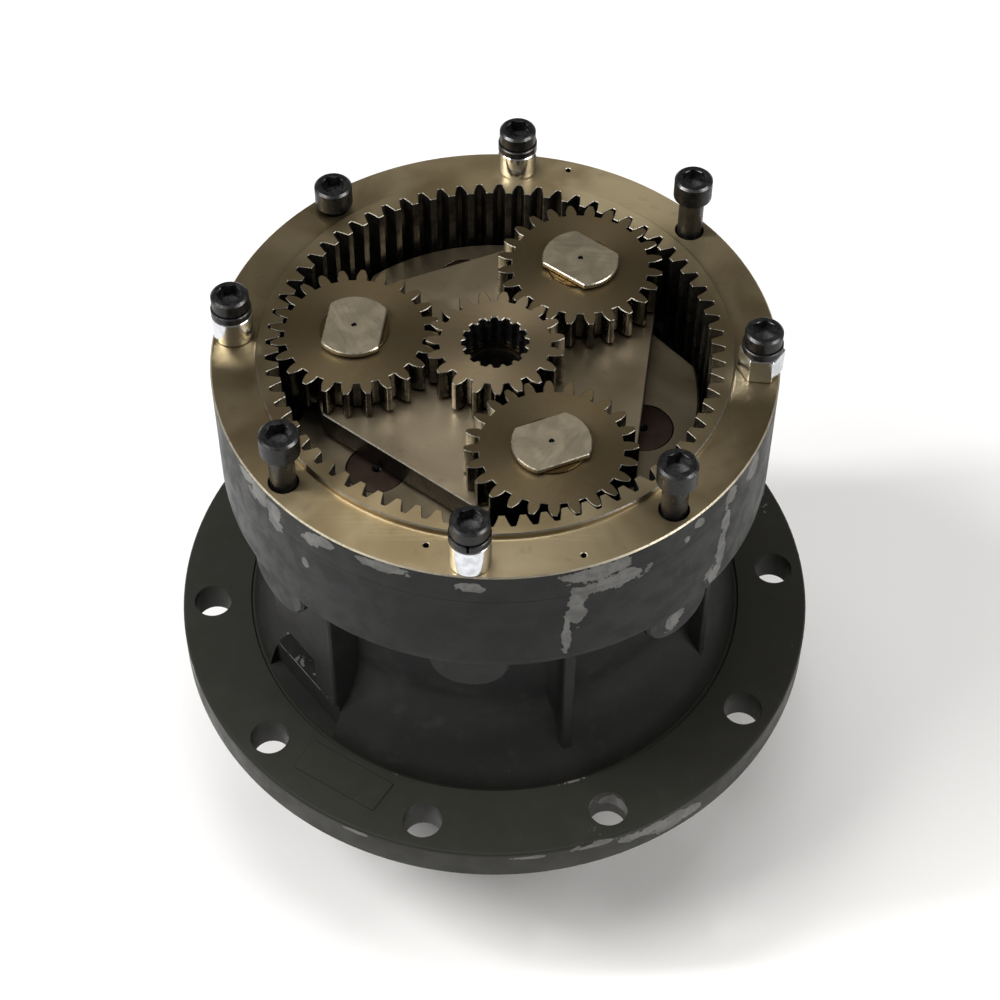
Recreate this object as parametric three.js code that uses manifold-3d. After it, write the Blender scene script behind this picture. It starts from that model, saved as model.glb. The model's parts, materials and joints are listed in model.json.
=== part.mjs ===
// Two-stage planetary swing gearbox, seen with its input cover off.
// Millimetres, +Z up. The origin is the centre of the output pinion's lower face,
// so the gearbox stands on its pinion, and every shaft turns about a vertical axis.

import * as THREE from 'three';
import { mergeVertices } from 'three/addons/utils/BufferGeometryUtils.js';
import Module from 'manifold-3d';

const wasm = await Module();
wasm.setup();

// ---------------------------------------------------------------- driving dimensions

const TAU = 2 * Math.PI;
const DEG = Math.PI / 180;

const GEAR_MODULE = 3.5;
const PRESSURE_ANGLE = 20 * DEG;
const BACKLASH = 0.44;          // gap between flanks at the pitch line
const FIT_GAP = 0.3;            // gap left between two pieces that touch
const SEAT_GAP = 0.4;           // gap around the bearing cups

const TEETH = { ring: 68, sun1: 19, planet1: 24, sun2: 28, planet2: 20, pinion: 12 };
const SHIFT = { ring: -0.239, sun1: 0.262, planet1: 0, sun2: 0.239, planet2: -0.239, pinion: 0.3 };

const ORBIT1 = 21.75 * GEAR_MODULE;   // first-stage planet centres
const ORBIT2 = 24 * GEAR_MODULE;      // second-stage planet centres
const ORBIT1_ANGLE = -67.6 * DEG;     // azimuth of the first planet of each stage
const ORBIT2_ANGLE = -18.5 * DEG;
const SUN1_PHASE = -69.3 * DEG;       // azimuth of one tooth of the first sun

const DRUM_RADIUS = 152;
const FLANGE_RADIUS = 187;
const NOSE_RADIUS = 118;
const NECK_RADIUS = 121.5;
const SLEEVE_RADIUS = 131;            // ring gear body inside the housing
const SPIGOT_RADIUS = 127.7;          // raised register for the missing cover
const RING_ROOT_RADIUS = 122.5;
const RING_TIP_RADIUS = 115.5;

const COVER_SCREW_CIRCLE = 141;
const COVER_SCREW_FIRST = 85 * DEG;
const COVER_SCREW_COUNT = 8;
const MOUNT_HOLE_CIRCLE = 169;
const MOUNT_HOLE_FIRST = 4.3 * DEG;
const MOUNT_HOLE_COUNT = 10;
const MOUNT_HOLE_RADIUS = 11;

// Small dowel holes in the rim face, as radius and azimuth.
const DOWEL = { radius: 1.6, depth: 12 };
const DOWEL_PLACES = [[144.3, 73.4 * DEG], [135.6, -104.7 * DEG], [144.2, -72.1 * DEG]];

// Heights above the origin.
const Z = {
  pinionTop: 72,
  noseBottom: 84,
  flangeBottom: 120,
  flangeTop: 142,
  ledge: 170,
  bandUnderside: 271.5,
  bandBottom: 276,
  sleeveBottom: 279.5,
  seam: 331.5,
  rim: 352,
  spigotTop: 356,
};

const SEGMENTS = { large: 48, medium: 28, small: 14 };

// ---------------------------------------------------------------- materials

const steel = (color, roughness) => new THREE.MeshStandardMaterial({ color, roughness, metalness: 1 });
const MATERIAL = {
  paint: new THREE.MeshStandardMaterial({ color: 0x3a3a37, roughness: 0.55, metalness: 0 }),
  machined: steel(0x8f8168, 0.38),
  gearFace: steel(0x6b5c44, 0.42),
  pin: steel(0x8a8170, 0.35),
  darkPin: steel(0x3c302a, 0.45),
  blackOxide: new THREE.MeshStandardMaterial({ color: 0x1d1d1f, roughness: 0.45, metalness: 0.6 }),
  chrome: steel(0xc9c9c6, 0.18),
  bronze: steel(0xa98238, 0.32),
  bearing: steel(0x9a9a98, 0.25),
  rubber: new THREE.MeshStandardMaterial({ color: 0x151515, roughness: 0.8, metalness: 0 }),
};

// ---------------------------------------------------------------- solids and booleans

const group = new THREE.Group();

/** Turn a closed three.js geometry into a solid with its faces pointing out. */
function solid(geometry) {
  const plain = geometry.clone();
  for (const name of Object.keys(plain.attributes)) {
    if (name !== 'position') plain.deleteAttribute(name);
  }
  const merged = mergeVertices(plain, 1e-4);
  const vertices = Float32Array.from(merged.attributes.position.array);
  const triangles = [];
  const index = merged.index.array;
  let volume = 0;
  const a = new THREE.Vector3();
  const b = new THREE.Vector3();
  const c = new THREE.Vector3();
  for (let i = 0; i < index.length; i += 3) {
    const [p, q, r] = [index[i], index[i + 1], index[i + 2]];
    if (p === q || q === r || r === p) continue;
    triangles.push(p, q, r);
    a.fromArray(vertices, 3 * p);
    b.fromArray(vertices, 3 * q);
    c.fromArray(vertices, 3 * r);
    volume += a.dot(b.cross(c));
  }
  if (volume < 0) {
    for (let i = 0; i < triangles.length; i += 3) {
      [triangles[i], triangles[i + 1]] = [triangles[i + 1], triangles[i]];
    }
  }
  const mesh = new wasm.Mesh({
    numProp: 3,
    vertProperties: vertices,
    triVerts: Uint32Array.from(triangles),
  });
  return new wasm.Manifold(mesh);
}

/** Join a list of solids. */
function join(...solids) {
  return solids.reduce((sum, piece) => sum.add(piece));
}

/** Cut every tool out of a solid. */
function cut(base, ...tools) {
  return tools.reduce((rest, tool) => rest.subtract(tool), base);
}

/** Add a solid to the object as a named mesh. */
function place(name, body, material, { x = 0, y = 0, z = 0, turn = 0 } = {}) {
  const data = body.getMesh();
  const stride = data.numProp;
  const count = data.vertProperties.length / stride;
  const positions = new Float32Array(3 * count);
  for (let i = 0; i < count; i += 1) {
    for (let k = 0; k < 3; k += 1) positions[3 * i + k] = data.vertProperties[stride * i + k];
  }
  const geometry = new THREE.BufferGeometry();
  geometry.setAttribute('position', new THREE.BufferAttribute(positions, 3));
  geometry.setIndex(Array.from(data.triVerts));
  geometry.computeVertexNormals();
  const mesh = new THREE.Mesh(geometry, material);
  mesh.name = name;
  mesh.position.set(x, y, z);
  mesh.rotation.z = turn;
  group.add(mesh);
  return mesh;
}

/** Revolve a list of [radius, height] corners, closed on itself or on the axis, about Z. */
function revolve(corners, segments = SEGMENTS.medium) {
  const points = corners.map(([radius, height]) => new THREE.Vector2(radius, height));
  const onAxis = corners[0][0] === 0 && corners[corners.length - 1][0] === 0;
  if (!onAxis) points.push(points[0].clone());
  return solid(new THREE.LatheGeometry(points, segments).rotateX(Math.PI / 2));
}

/** A straight ring or disc between two heights. */
function ring(inner, outer, bottom, top, segments = SEGMENTS.medium) {
  if (inner === 0) return revolve([[0, bottom], [outer, bottom], [outer, top], [0, top]], segments);
  return revolve([[inner, bottom], [outer, bottom], [outer, top], [inner, top]], segments);
}

/** Extrude a closed outline of Vector2 points, with optional holes, between two heights. */
function prism(outline, bottom, top, holes = []) {
  const shape = new THREE.Shape(outline);
  shape.holes = holes.map((hole) => new THREE.Path(hole));
  const geometry = new THREE.ExtrudeGeometry(shape, { depth: top - bottom, bevelEnabled: false });
  return solid(geometry.translate(0, 0, bottom));
}

/** A box by its size and centre. */
function box(width, depth, height, x, y, z) {
  return solid(new THREE.BoxGeometry(width, depth, height).translate(x, y, z));
}

/** A point at a radius and azimuth, as Vector2. */
function polar(radius, angle) {
  return new THREE.Vector2(radius * Math.cos(angle), radius * Math.sin(angle));
}

/** A regular polygon or circle as an outline. */
function circle(radius, segments = SEGMENTS.small, first = 0) {
  return Array.from({ length: segments }, (_, i) => polar(radius, first + (i * TAU) / segments));
}

/** A vertical cylinder on a circle of holes or pins. */
function post(radius, bottom, top, orbit, angle, segments = SEGMENTS.small) {
  const centre = polar(orbit, angle);
  return ring(0, radius, bottom, top, segments).translate([centre.x, centre.y, 0]);
}

/** Azimuths of equally spaced features. */
function around(count, first = 0) {
  return Array.from({ length: count }, (_, i) => first + (i * TAU) / count);
}

/** A solid turned about the Z axis. */
function turned(body, angle) {
  return body.rotate([0, 0, angle / DEG]);
}

// ---------------------------------------------------------------- gear geometry

const involute = (angle) => Math.tan(angle) - angle;

/**
 * Outline of an involute gear, counter-clockwise. With `space` set the outline is that of
 * the tooth spaces of an internal gear, so its backlash widens instead of narrowing.
 */
function gearOutline({ teeth, shift, tip, root, phase = 0, module = GEAR_MODULE, space = false }) {
  const pitchRadius = (module * teeth) / 2;
  const baseRadius = pitchRadius * Math.cos(PRESSURE_ANGLE);
  const backlashAngle = ((space ? 1 : -1) * BACKLASH) / 4 / pitchRadius;
  const atBase = (Math.PI / 2 + 2 * shift * Math.tan(PRESSURE_ANGLE)) / teeth
    + involute(PRESSURE_ANGLE) + backlashAngle;
  const halfAngle = (radius) => atBase - involute(Math.acos(Math.min(1, baseRadius / radius)));
  const steps = space ? [0, 1] : [0, 0.45, 1];
  const radii = steps.map((t) => root + t * (tip - root));
  const outline = [];
  for (const centre of around(teeth, phase)) {
    for (const radius of radii) outline.push(polar(radius, centre - halfAngle(radius)));
    for (const radius of radii.slice().reverse()) outline.push(polar(radius, centre + halfAngle(radius)));
  }
  return outline;
}

/** Outline of a straight-sided spline. */
function splineOutline(teeth, minor, major, phase = 0, fill = 0.5) {
  const pitch = TAU / teeth;
  const outline = [];
  for (const centre of around(teeth, phase)) {
    outline.push(polar(minor, centre - 0.5 * (fill + 0.25) * pitch));
    outline.push(polar(major, centre - 0.5 * (fill - 0.1) * pitch));
    outline.push(polar(major, centre + 0.5 * (fill - 0.1) * pitch));
    outline.push(polar(minor, centre + 0.5 * (fill + 0.25) * pitch));
  }
  return outline;
}

const tipRadius = (teeth, shift, addendum = 1) => GEAR_MODULE * (teeth / 2 + addendum + shift);
const rootRadius = (teeth, shift) => GEAR_MODULE * (teeth / 2 - 1.25 + shift);

/** Azimuth of a tooth space of a planet that meshes with a sun tooth at `sunPhase`. */
const planetSpace = (azimuth, sunPhase, sunTeeth, planetTeeth) =>
  azimuth + Math.PI - (sunTeeth / planetTeeth) * (sunPhase - azimuth);

const ORBIT1_ANGLES = around(3, ORBIT1_ANGLE);
const ORBIT2_ANGLES = around(3, ORBIT2_ANGLE);

const PLANET1_SPACES = ORBIT1_ANGLES.map((a) => planetSpace(a, SUN1_PHASE, TEETH.sun1, TEETH.planet1));
const RING_PHASE = ORBIT1_ANGLES[0]
  + (TEETH.planet1 / TEETH.ring) * (PLANET1_SPACES[0] - Math.PI - ORBIT1_ANGLES[0]);
const PLANET2_SPACES = ORBIT2_ANGLES.map((a) => a + (TEETH.ring / TEETH.planet2) * (RING_PHASE - a));
const SUN2_PHASE = ORBIT2_ANGLES[0]
  - (TEETH.planet2 / TEETH.sun2) * (PLANET2_SPACES[0] + Math.PI - ORBIT2_ANGLES[0]);

// ---------------------------------------------------------------- housing

const COVER_SCREW_ANGLES = around(COVER_SCREW_COUNT, COVER_SCREW_FIRST);
const TAPPED_RADIUS = 7.2;
const TAPPED_BOTTOM = 284;
const BOSS_RADIUS = 21;
const RIB_THICKNESS = 7;
const RIB_RADIUS = 135.3;
const RIB_CLEARANCE = 30 * DEG; // no ribs this near the port block

const STEP_RADIUS = 144.1;      // low step around the foot of the neck
const PLATE_PAD = { radius: 160, angle: -122.4 * DEG, depth: 21, length: 55, height: 0.8 };

const PORT = { angle: -142 * DEG, face: 136.4, halfWidth: 28.5, pocketDepth: 8, pocketTop: 194 };
const POCKET = { width: 44, offset: -12 };
const OIL_PASSAGE_RADIUS = 4;
const CAVITY_RADIUS = 112;      // clearance around the second carrier's lower plate
const SHAFT_TUNNEL_RADIUS = 71; // between the two bearings
const PLUG_RADIUS = 8;
const PLUG_HEIGHT = 12.5;       // above the ledge
const PLUG_OFFSET = -10;        // sideways from the port block's middle

const BEARING_UPPER = { bottom: 210, top: 250, bore: 45, outer: 80 };
const BEARING_LOWER = { bottom: 100, top: 142, bore: 50, outer: 90 };
const SEAL = { bottom: 86, top: 98, journal: 62 };

/** Steep foot, shoulder and fillet of the neck, from the flange step up to its plain part. */
const NECK_FOOT = [
  [STEP_RADIUS, Z.flangeTop + 1.6], [139.5, 158], [134, 167.5], [128, 174], [124, 184], [NECK_RADIUS, 200],
];

function housingShell() {
  const outside = [
    [BEARING_LOWER.outer + SEAT_GAP, Z.noseBottom],
    [NOSE_RADIUS, Z.noseBottom],
    [NOSE_RADIUS, Z.flangeBottom],
    [FLANGE_RADIUS, Z.flangeBottom],
    [FLANGE_RADIUS, Z.flangeTop - 1.5],
    [FLANGE_RADIUS - 1.5, Z.flangeTop],
    [STEP_RADIUS, Z.flangeTop],
    ...NECK_FOOT,
    [NECK_RADIUS, Z.bandUnderside],
    [DRUM_RADIUS - 4.5, Z.bandUnderside],
    [DRUM_RADIUS, Z.bandBottom],
    [DRUM_RADIUS, Z.seam - FIT_GAP],
  ];
  const inside = [
    [SLEEVE_RADIUS + 4.3, Z.seam - FIT_GAP],
    [SLEEVE_RADIUS + FIT_GAP, Z.seam - FIT_GAP - 4],
    [SLEEVE_RADIUS + FIT_GAP, Z.sleeveBottom - FIT_GAP],
    [CAVITY_RADIUS, Z.sleeveBottom - FIT_GAP],
    [CAVITY_RADIUS, BEARING_UPPER.top + 10],
    [BEARING_UPPER.outer + SEAT_GAP, BEARING_UPPER.top + 2],
    [BEARING_UPPER.outer + SEAT_GAP, BEARING_UPPER.bottom - 0.2],
    [SHAFT_TUNNEL_RADIUS, BEARING_UPPER.bottom - 0.2],
    [BEARING_LOWER.outer - 8, BEARING_LOWER.top + 0.2],
    [BEARING_LOWER.outer + SEAT_GAP, BEARING_LOWER.top + 0.2],
  ];
  return revolve([...outside, ...inside], SEGMENTS.large);
}

/** Half-round boss under the band, with its end face flush with the drum. */
function screwBoss(angle) {
  const length = DRUM_RADIUS - NECK_RADIUS + 6;
  const cylinder = new THREE.CylinderGeometry(BOSS_RADIUS, BOSS_RADIUS, length, 16);
  cylinder.rotateZ(Math.PI / 2).translate(DRUM_RADIUS + 2 - length / 2, 0, Z.bandBottom);
  const clipped = solid(cylinder).intersect(
    ring(NECK_RADIUS - 6, DRUM_RADIUS, Z.bandUnderside - 30, Z.bandBottom + 2, SEGMENTS.large),
  );
  return turned(clipped, angle);
}

/** Radial web from the neck out to the rib line, between two screw bosses. */
function neckRib(angle) {
  const inner = NECK_RADIUS - 5;
  const bottom = Z.flangeTop + 2;
  const web = box(RIB_RADIUS - inner, RIB_THICKNESS, Z.bandUnderside + 1 - bottom,
    (RIB_RADIUS + inner) / 2, 0, (Z.bandUnderside + 1 + bottom) / 2);
  return turned(web, angle);
}

/** Block on the neck that carries the drain port, with its milled pocket and the cut below. */
function portBlock() {
  const inner = NECK_RADIUS - 7;
  const height = Z.bandUnderside + 1 - Z.flangeTop;
  const block = box(PORT.face - inner, 2 * PORT.halfWidth, height - 1,
    (PORT.face + inner) / 2, 0, Z.flangeTop + 1 + (height - 1) / 2);
  const pocketHeight = PORT.pocketTop - Z.ledge;
  const pocket = box(PORT.pocketDepth * 2, POCKET.width, pocketHeight,
    PORT.face, POCKET.offset, Z.ledge + pocketHeight / 2);
  const reliefDepth = STEP_RADIUS + 4 - PORT.face;
  const reliefBottom = Z.flangeTop + 1;
  const relief = box(reliefDepth, POCKET.width, Z.ledge - reliefBottom,
    PORT.face + reliefDepth / 2, POCKET.offset, (Z.ledge + reliefBottom) / 2);
  return {
    block: turned(block, PORT.angle),
    pocket: turned(pocket, PORT.angle),
    relief: turned(relief, PORT.angle),
  };
}

/** Cylinder along the drain port's axis between two distances from the gearbox axis. */
function portBore(radius, from, to, sides = SEGMENTS.small) {
  const bore = new THREE.CylinderGeometry(radius, radius, to - from, sides);
  bore.rotateZ(-Math.PI / 2).translate((from + to) / 2, PLUG_OFFSET, Z.ledge + PLUG_HEIGHT);
  return turned(solid(bore), PORT.angle);
}

function lowerHousing() {
  const ribAngles = COVER_SCREW_ANGLES.map((a) => a + Math.PI / COVER_SCREW_COUNT)
    .filter((a) => Math.cos(a - PORT.angle) < Math.cos(RIB_CLEARANCE));
  const { block, pocket, relief } = portBlock();
  const plate = platePad();
  const pocketFloor = PORT.face - PORT.pocketDepth;
  let body = join(housingShell(), ...COVER_SCREW_ANGLES.map(screwBoss), ...ribAngles.map(neckRib));
  body = join(body, block, plate);
  body = cut(body, pocket, relief, portBore(PLUG_RADIUS + 0.2, pocketFloor - 14, pocketFloor + 2));
  body = cut(body, portBore(OIL_PASSAGE_RADIUS, SHAFT_TUNNEL_RADIUS - 11, pocketFloor - 10));
  const mountHoles = around(MOUNT_HOLE_COUNT, MOUNT_HOLE_FIRST)
    .map((a) => post(MOUNT_HOLE_RADIUS, Z.flangeBottom - 1, Z.flangeTop + 3, MOUNT_HOLE_CIRCLE, a));
  const tapped = COVER_SCREW_ANGLES
    .map((a) => post(TAPPED_RADIUS, TAPPED_BOTTOM, Z.seam + 1, COVER_SCREW_CIRCLE, a, 12));
  return cut(body, ...mountHoles, ...tapped);
}

/** Raised blank pad for a nameplate, on the flange. */
function platePad() {
  const { radius, angle, depth, length, height } = PLATE_PAD;
  const pad = box(depth, length, 2 * height, radius, 0, Z.flangeTop);
  return turned(pad, angle);
}

place('lower_housing', lowerHousing(), MATERIAL.paint);

// ---------------------------------------------------------------- ring gear

function ringGear() {
  const spaces = gearOutline({
    teeth: TEETH.ring,
    shift: SHIFT.ring,
    tip: RING_ROOT_RADIUS,
    root: RING_TIP_RADIUS,
    phase: RING_PHASE + Math.PI / TEETH.ring,
    space: true,
  });
  const wall = (RING_ROOT_RADIUS + SPIGOT_RADIUS) / 2;
  const toothed = prism(circle(SPIGOT_RADIUS, SEGMENTS.large), Z.sleeveBottom, Z.spigotTop, [spaces]);
  const collar = revolve([
    [wall, Z.sleeveBottom],
    [SLEEVE_RADIUS, Z.sleeveBottom],
    [SLEEVE_RADIUS, Z.seam],
    [DRUM_RADIUS, Z.seam],
    [DRUM_RADIUS, Z.rim - 0.8],
    [DRUM_RADIUS - 0.8, Z.rim],
    [wall, Z.rim],
  ], SEGMENTS.large);
  const screwHoles = COVER_SCREW_ANGLES
    .map((a) => post(TAPPED_RADIUS, Z.seam - 1, Z.rim + 1, COVER_SCREW_CIRCLE, a, 12));
  const dowelHoles = DOWEL_PLACES
    .map(([orbit, angle]) => post(DOWEL.radius, Z.rim - DOWEL.depth, Z.rim + 1, orbit, angle, 8));
  return cut(join(toothed, collar), ...screwHoles, ...dowelHoles);
}

place('ring_gear', ringGear(), MATERIAL.machined);

const O_RING_RADIUS = SLEEVE_RADIUS + 1.6;
place('housing_o_ring', revolve([
  [O_RING_RADIUS - 1.2, Z.seam - 2.4],
  [O_RING_RADIUS + 1.2, Z.seam - 0.5],
  [O_RING_RADIUS - 1.2, Z.seam - 0.5],
], SEGMENTS.large), MATERIAL.rubber);

// ---------------------------------------------------------------- cover screws

const SCREW = { radius: 6.75, length: 65, socket: 6, socketDepth: 6.5 };

function capScrew(headRadius, headHeight) {
  const head = revolve([
    [0, 0],
    [headRadius, 0],
    [headRadius, headHeight - 1],
    [headRadius - 1, headHeight],
    [0, headHeight],
  ], 18);
  const shank = revolve([
    [0, -SCREW.length],
    [SCREW.radius - 1.5, -SCREW.length],
    [SCREW.radius, 1.5 - SCREW.length],
    [SCREW.radius, 1],
    [0, 1],
  ], 12);
  const socketBottom = headHeight - SCREW.socketDepth;
  const hex = circle(SCREW.socket / Math.cos(Math.PI / 6), 6);
  const socket = prism(hex, socketBottom, headHeight + 1);
  return cut(join(head, shank), socket);
}

// Height of each screw's head above the rim, in order of azimuth, and what lies under it.
const SCREW_STATIONS = [
  { name: 'cap_screw_1', headTop: 29.4, spacer: 'spacer_1' },
  { name: 'cap_screw_2', headTop: 17.2 },
  { name: 'cap_screw_3', headTop: 30.0, spacer: 'spacer_2' },
  { name: 'cap_screw_4', headTop: 37.9 },
  { name: 'cap_screw_5', headTop: 32.4, spacer: 'spacer_3' },
  { name: 'cap_screw_6', headTop: 36.8 },
  { name: 'cap_screw_7', headTop: 29.8, spacer: 'hex_spacer' },
  { name: 'cap_screw_8', headTop: 39.6 },
];
const TALL_HEAD = { radius: 10.5, height: 14 };
const LOW_HEAD = { radius: 10.2, height: 9 };
const LOCK_RING = { radius: 10.9, bore: 7.05, height: 4.6 };
const SPACER_RADIUS = 10.9;
const SHIM = 0.1;               // clearance left between stacked pieces

SCREW_STATIONS.forEach((station, i) => {
  const centre = polar(COVER_SCREW_CIRCLE, COVER_SCREW_ANGLES[i]);
  const head = station.spacer ? LOW_HEAD : TALL_HEAD;
  const seat = Z.rim + station.headTop - head.height;
  const at = { x: centre.x, y: centre.y, turn: COVER_SCREW_ANGLES[i] };
  place(station.name, capScrew(head.radius, head.height), MATERIAL.blackOxide, { ...at, z: seat });
  if (!station.spacer) return;
  const lockBottom = seat - SHIM - LOCK_RING.height;
  const lockRing = ring(LOCK_RING.bore, LOCK_RING.radius, 0, LOCK_RING.height, 18);
  const split = box(8, 1.2, 20, LOCK_RING.radius, 0, 0);
  place(`lock_ring_${1 + i / 2}`, cut(lockRing, split), MATERIAL.blackOxide, { ...at, z: lockBottom });
  const height = lockBottom - 2 * SHIM - Z.rim;
  const bore = ring(0, LOCK_RING.bore, -1, height + 1, 16);
  const hexOutline = circle(12.2, 6);
  const outside = station.spacer === 'hex_spacer'
    ? prism(hexOutline, 0, height)
    : revolve([[0, 0], [SPACER_RADIUS, 0], [SPACER_RADIUS, height], [0, height]], 20);
  place(station.spacer, cut(outside, bore), MATERIAL.chrome, { ...at, z: Z.rim + SHIM });
});

// ---------------------------------------------------------------- drain plug

function drainPlug() {
  const floor = PORT.face - PORT.pocketDepth;
  const body = portBore(PLUG_RADIUS - 0.1, floor - 9, floor + 2.5, 20);
  const socket = portBore(4.6, floor - 4, floor + 4, 6);
  return cut(body, socket);
}

place('drain_plug', drainPlug(), MATERIAL.blackOxide);

// ---------------------------------------------------------------- first stage

const FIRST = {
  carrierBottom: 321.5,
  carrierTop: 336.5,
  planetBottom: 337.8,
  planetTop: 356.1,
  pinTop: 360.8,
  sunBottom: 338.6,
  sunTop: 358.6,
};
const PIN1_RADIUS = 11;
const PIN1_HEAD = { radius: 21, acrossFlats: 31 };
const PLANET1_BORE = 15;
const SHAFT_SPLINE = { teeth: 16, minor: 16, major: 18.1 };
const CARRIER1 = { flat: 81.3, radius: 97 };
const COUPLING_SPLINE = { teeth: 14, minor: 27, major: 30 };

/** Disc cut to three flats, with `angle` the azimuth of one flat's normal. */
function lobedPlate(radius, flat, angle, bottom, top) {
  const halfFlat = Math.acos(flat / radius);
  const arcSteps = 6;
  const outline = [];
  for (const normal of around(3, angle)) {
    const first = normal + halfFlat;
    const span = TAU / 3 - 2 * halfFlat;
    for (let i = 0; i <= arcSteps; i += 1) outline.push(polar(radius, first + (i / arcSteps) * span));
  }
  return prism(outline, bottom, top);
}

place('first_sun_gear', prism(
  gearOutline({
    teeth: TEETH.sun1,
    shift: SHIFT.sun1,
    tip: tipRadius(TEETH.sun1, SHIFT.sun1, 0.85),
    root: rootRadius(TEETH.sun1, SHIFT.sun1),
    phase: SUN1_PHASE,
  }),
  FIRST.sunBottom,
  FIRST.sunTop,
  [splineOutline(SHAFT_SPLINE.teeth, SHAFT_SPLINE.minor, SHAFT_SPLINE.major, 92 * DEG)],
), MATERIAL.machined);

function firstCarrier() {
  const flatAngle = ORBIT1_ANGLE + Math.PI / 3;
  const plate = lobedPlate(CARRIER1.radius, CARRIER1.flat, flatAngle,
    FIRST.carrierBottom, FIRST.carrierTop);
  const pinHoles = ORBIT1_ANGLES.map((a) => post(PIN1_RADIUS + 0.4,
    FIRST.carrierBottom - 1, FIRST.carrierTop + 1, ORBIT1, a));
  const spline = prism(splineOutline(COUPLING_SPLINE.teeth, COUPLING_SPLINE.minor,
    COUPLING_SPLINE.major), FIRST.carrierBottom - 1, FIRST.carrierTop + 1);
  return cut(plate, spline, ...pinHoles);
}

place('first_carrier', firstCarrier(), MATERIAL.machined);

/** Headed pin whose head has two flats square to the radius through it. */
function firstPlanetPin() {
  const headBottom = FIRST.planetTop + 1.5;
  const head = ring(0, PIN1_HEAD.radius, headBottom, FIRST.pinTop, 24)
    .intersect(box(PIN1_HEAD.acrossFlats, 3 * PIN1_HEAD.radius, 20, 0, 0, FIRST.pinTop));
  const shank = ring(0, PIN1_RADIUS, FIRST.carrierBottom, headBottom + 1, SEGMENTS.small);
  const centreDrill = ring(0, 1.2, FIRST.pinTop - 2, FIRST.pinTop + 1, 8);
  return cut(join(head, shank), centreDrill);
}

ORBIT1_ANGLES.forEach((angle, i) => {
  const centre = polar(ORBIT1, angle);
  const at = { x: centre.x, y: centre.y };
  const number = i + 1;
  const gear = prism(
    gearOutline({
      teeth: TEETH.planet1,
      shift: SHIFT.planet1,
      tip: tipRadius(TEETH.planet1, SHIFT.planet1, 0.95),
      root: rootRadius(TEETH.planet1, SHIFT.planet1),
      phase: PLANET1_SPACES[i] + Math.PI / TEETH.planet1,
    }),
    FIRST.planetBottom,
    FIRST.planetTop,
    [circle(PLANET1_BORE + 0.45)],
  );
  place(`first_planet_gear_${number}`, gear, MATERIAL.gearFace, at);
  place(`first_planet_bush_${number}`,
    ring(PIN1_RADIUS + 0.4, PLANET1_BORE, FIRST.planetBottom + 0.4, FIRST.planetTop - 0.4, SEGMENTS.small),
    MATERIAL.bronze, at);
  place(`first_planet_pin_${number}`, firstPlanetPin(), MATERIAL.pin, { ...at, turn: angle });
  place(`first_thrust_washer_${number}`,
    ring(PIN1_RADIUS + 0.3, 18.6, FIRST.planetTop + 0.1, FIRST.planetTop + 1.4, SEGMENTS.small),
    MATERIAL.bronze, at);
  place(`first_lower_washer_${number}`,
    ring(PIN1_RADIUS + 0.3, 20, FIRST.carrierTop + 0.1, FIRST.planetBottom - 0.1, SEGMENTS.small),
    MATERIAL.bronze, at);
});

// ---------------------------------------------------------------- second stage

const SECOND = {
  lowerPlateBottom: 264,
  lowerPlateTop: 279,
  planetBottom: 280.3,
  planetTop: 306.4,
  upperPlateBottom: 307.8,
  upperPlateTop: 320,
};
const CARRIER2 = { radius: 111, flat: 93.7, sunOpening: 56, lowerRadius: 107, hubRadius: 66 };
const PIN2_RADIUS = 16;
const PLANET2_BORE = 20.5;
const OUTPUT_SPLINE = { teeth: 16, minor: 36, major: 40 };
const BRIDGE = { radius: 76, depth: 34, width: 44 };   // posts between the two plates
const SUN2_NECK_RADIUS = 34;
const SUN2_BORE = 15;
const HUB_BOTTOM = 251;

function sunShaft() {
  const teeth = prism(
    gearOutline({
      teeth: TEETH.sun2,
      shift: SHIFT.sun2,
      tip: tipRadius(TEETH.sun2, SHIFT.sun2, 0.95),
      root: rootRadius(TEETH.sun2, SHIFT.sun2),
      phase: SUN2_PHASE,
    }),
    SECOND.planetBottom + 0.4,
    SECOND.planetTop,
  );
  const neck = ring(0, SUN2_NECK_RADIUS, SECOND.planetTop - 1, FIRST.carrierBottom - 0.4, SEGMENTS.medium);
  const spline = prism(splineOutline(COUPLING_SPLINE.teeth, COUPLING_SPLINE.minor - FIT_GAP,
    COUPLING_SPLINE.major - FIT_GAP, 0, 0.46), FIRST.carrierBottom - 1, FIRST.carrierTop - 0.5);
  const bore = ring(0, SUN2_BORE, SECOND.planetBottom - 1, FIRST.carrierTop + 1, SEGMENTS.small);
  return cut(join(teeth, neck, spline), bore);
}

place('second_sun_gear', sunShaft(), MATERIAL.gearFace);
place('sun_thrust_ring', ring(17, 26, FIRST.carrierTop + 0.1, FIRST.sunBottom - 0.3, SEGMENTS.small),
  MATERIAL.bronze);

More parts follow.
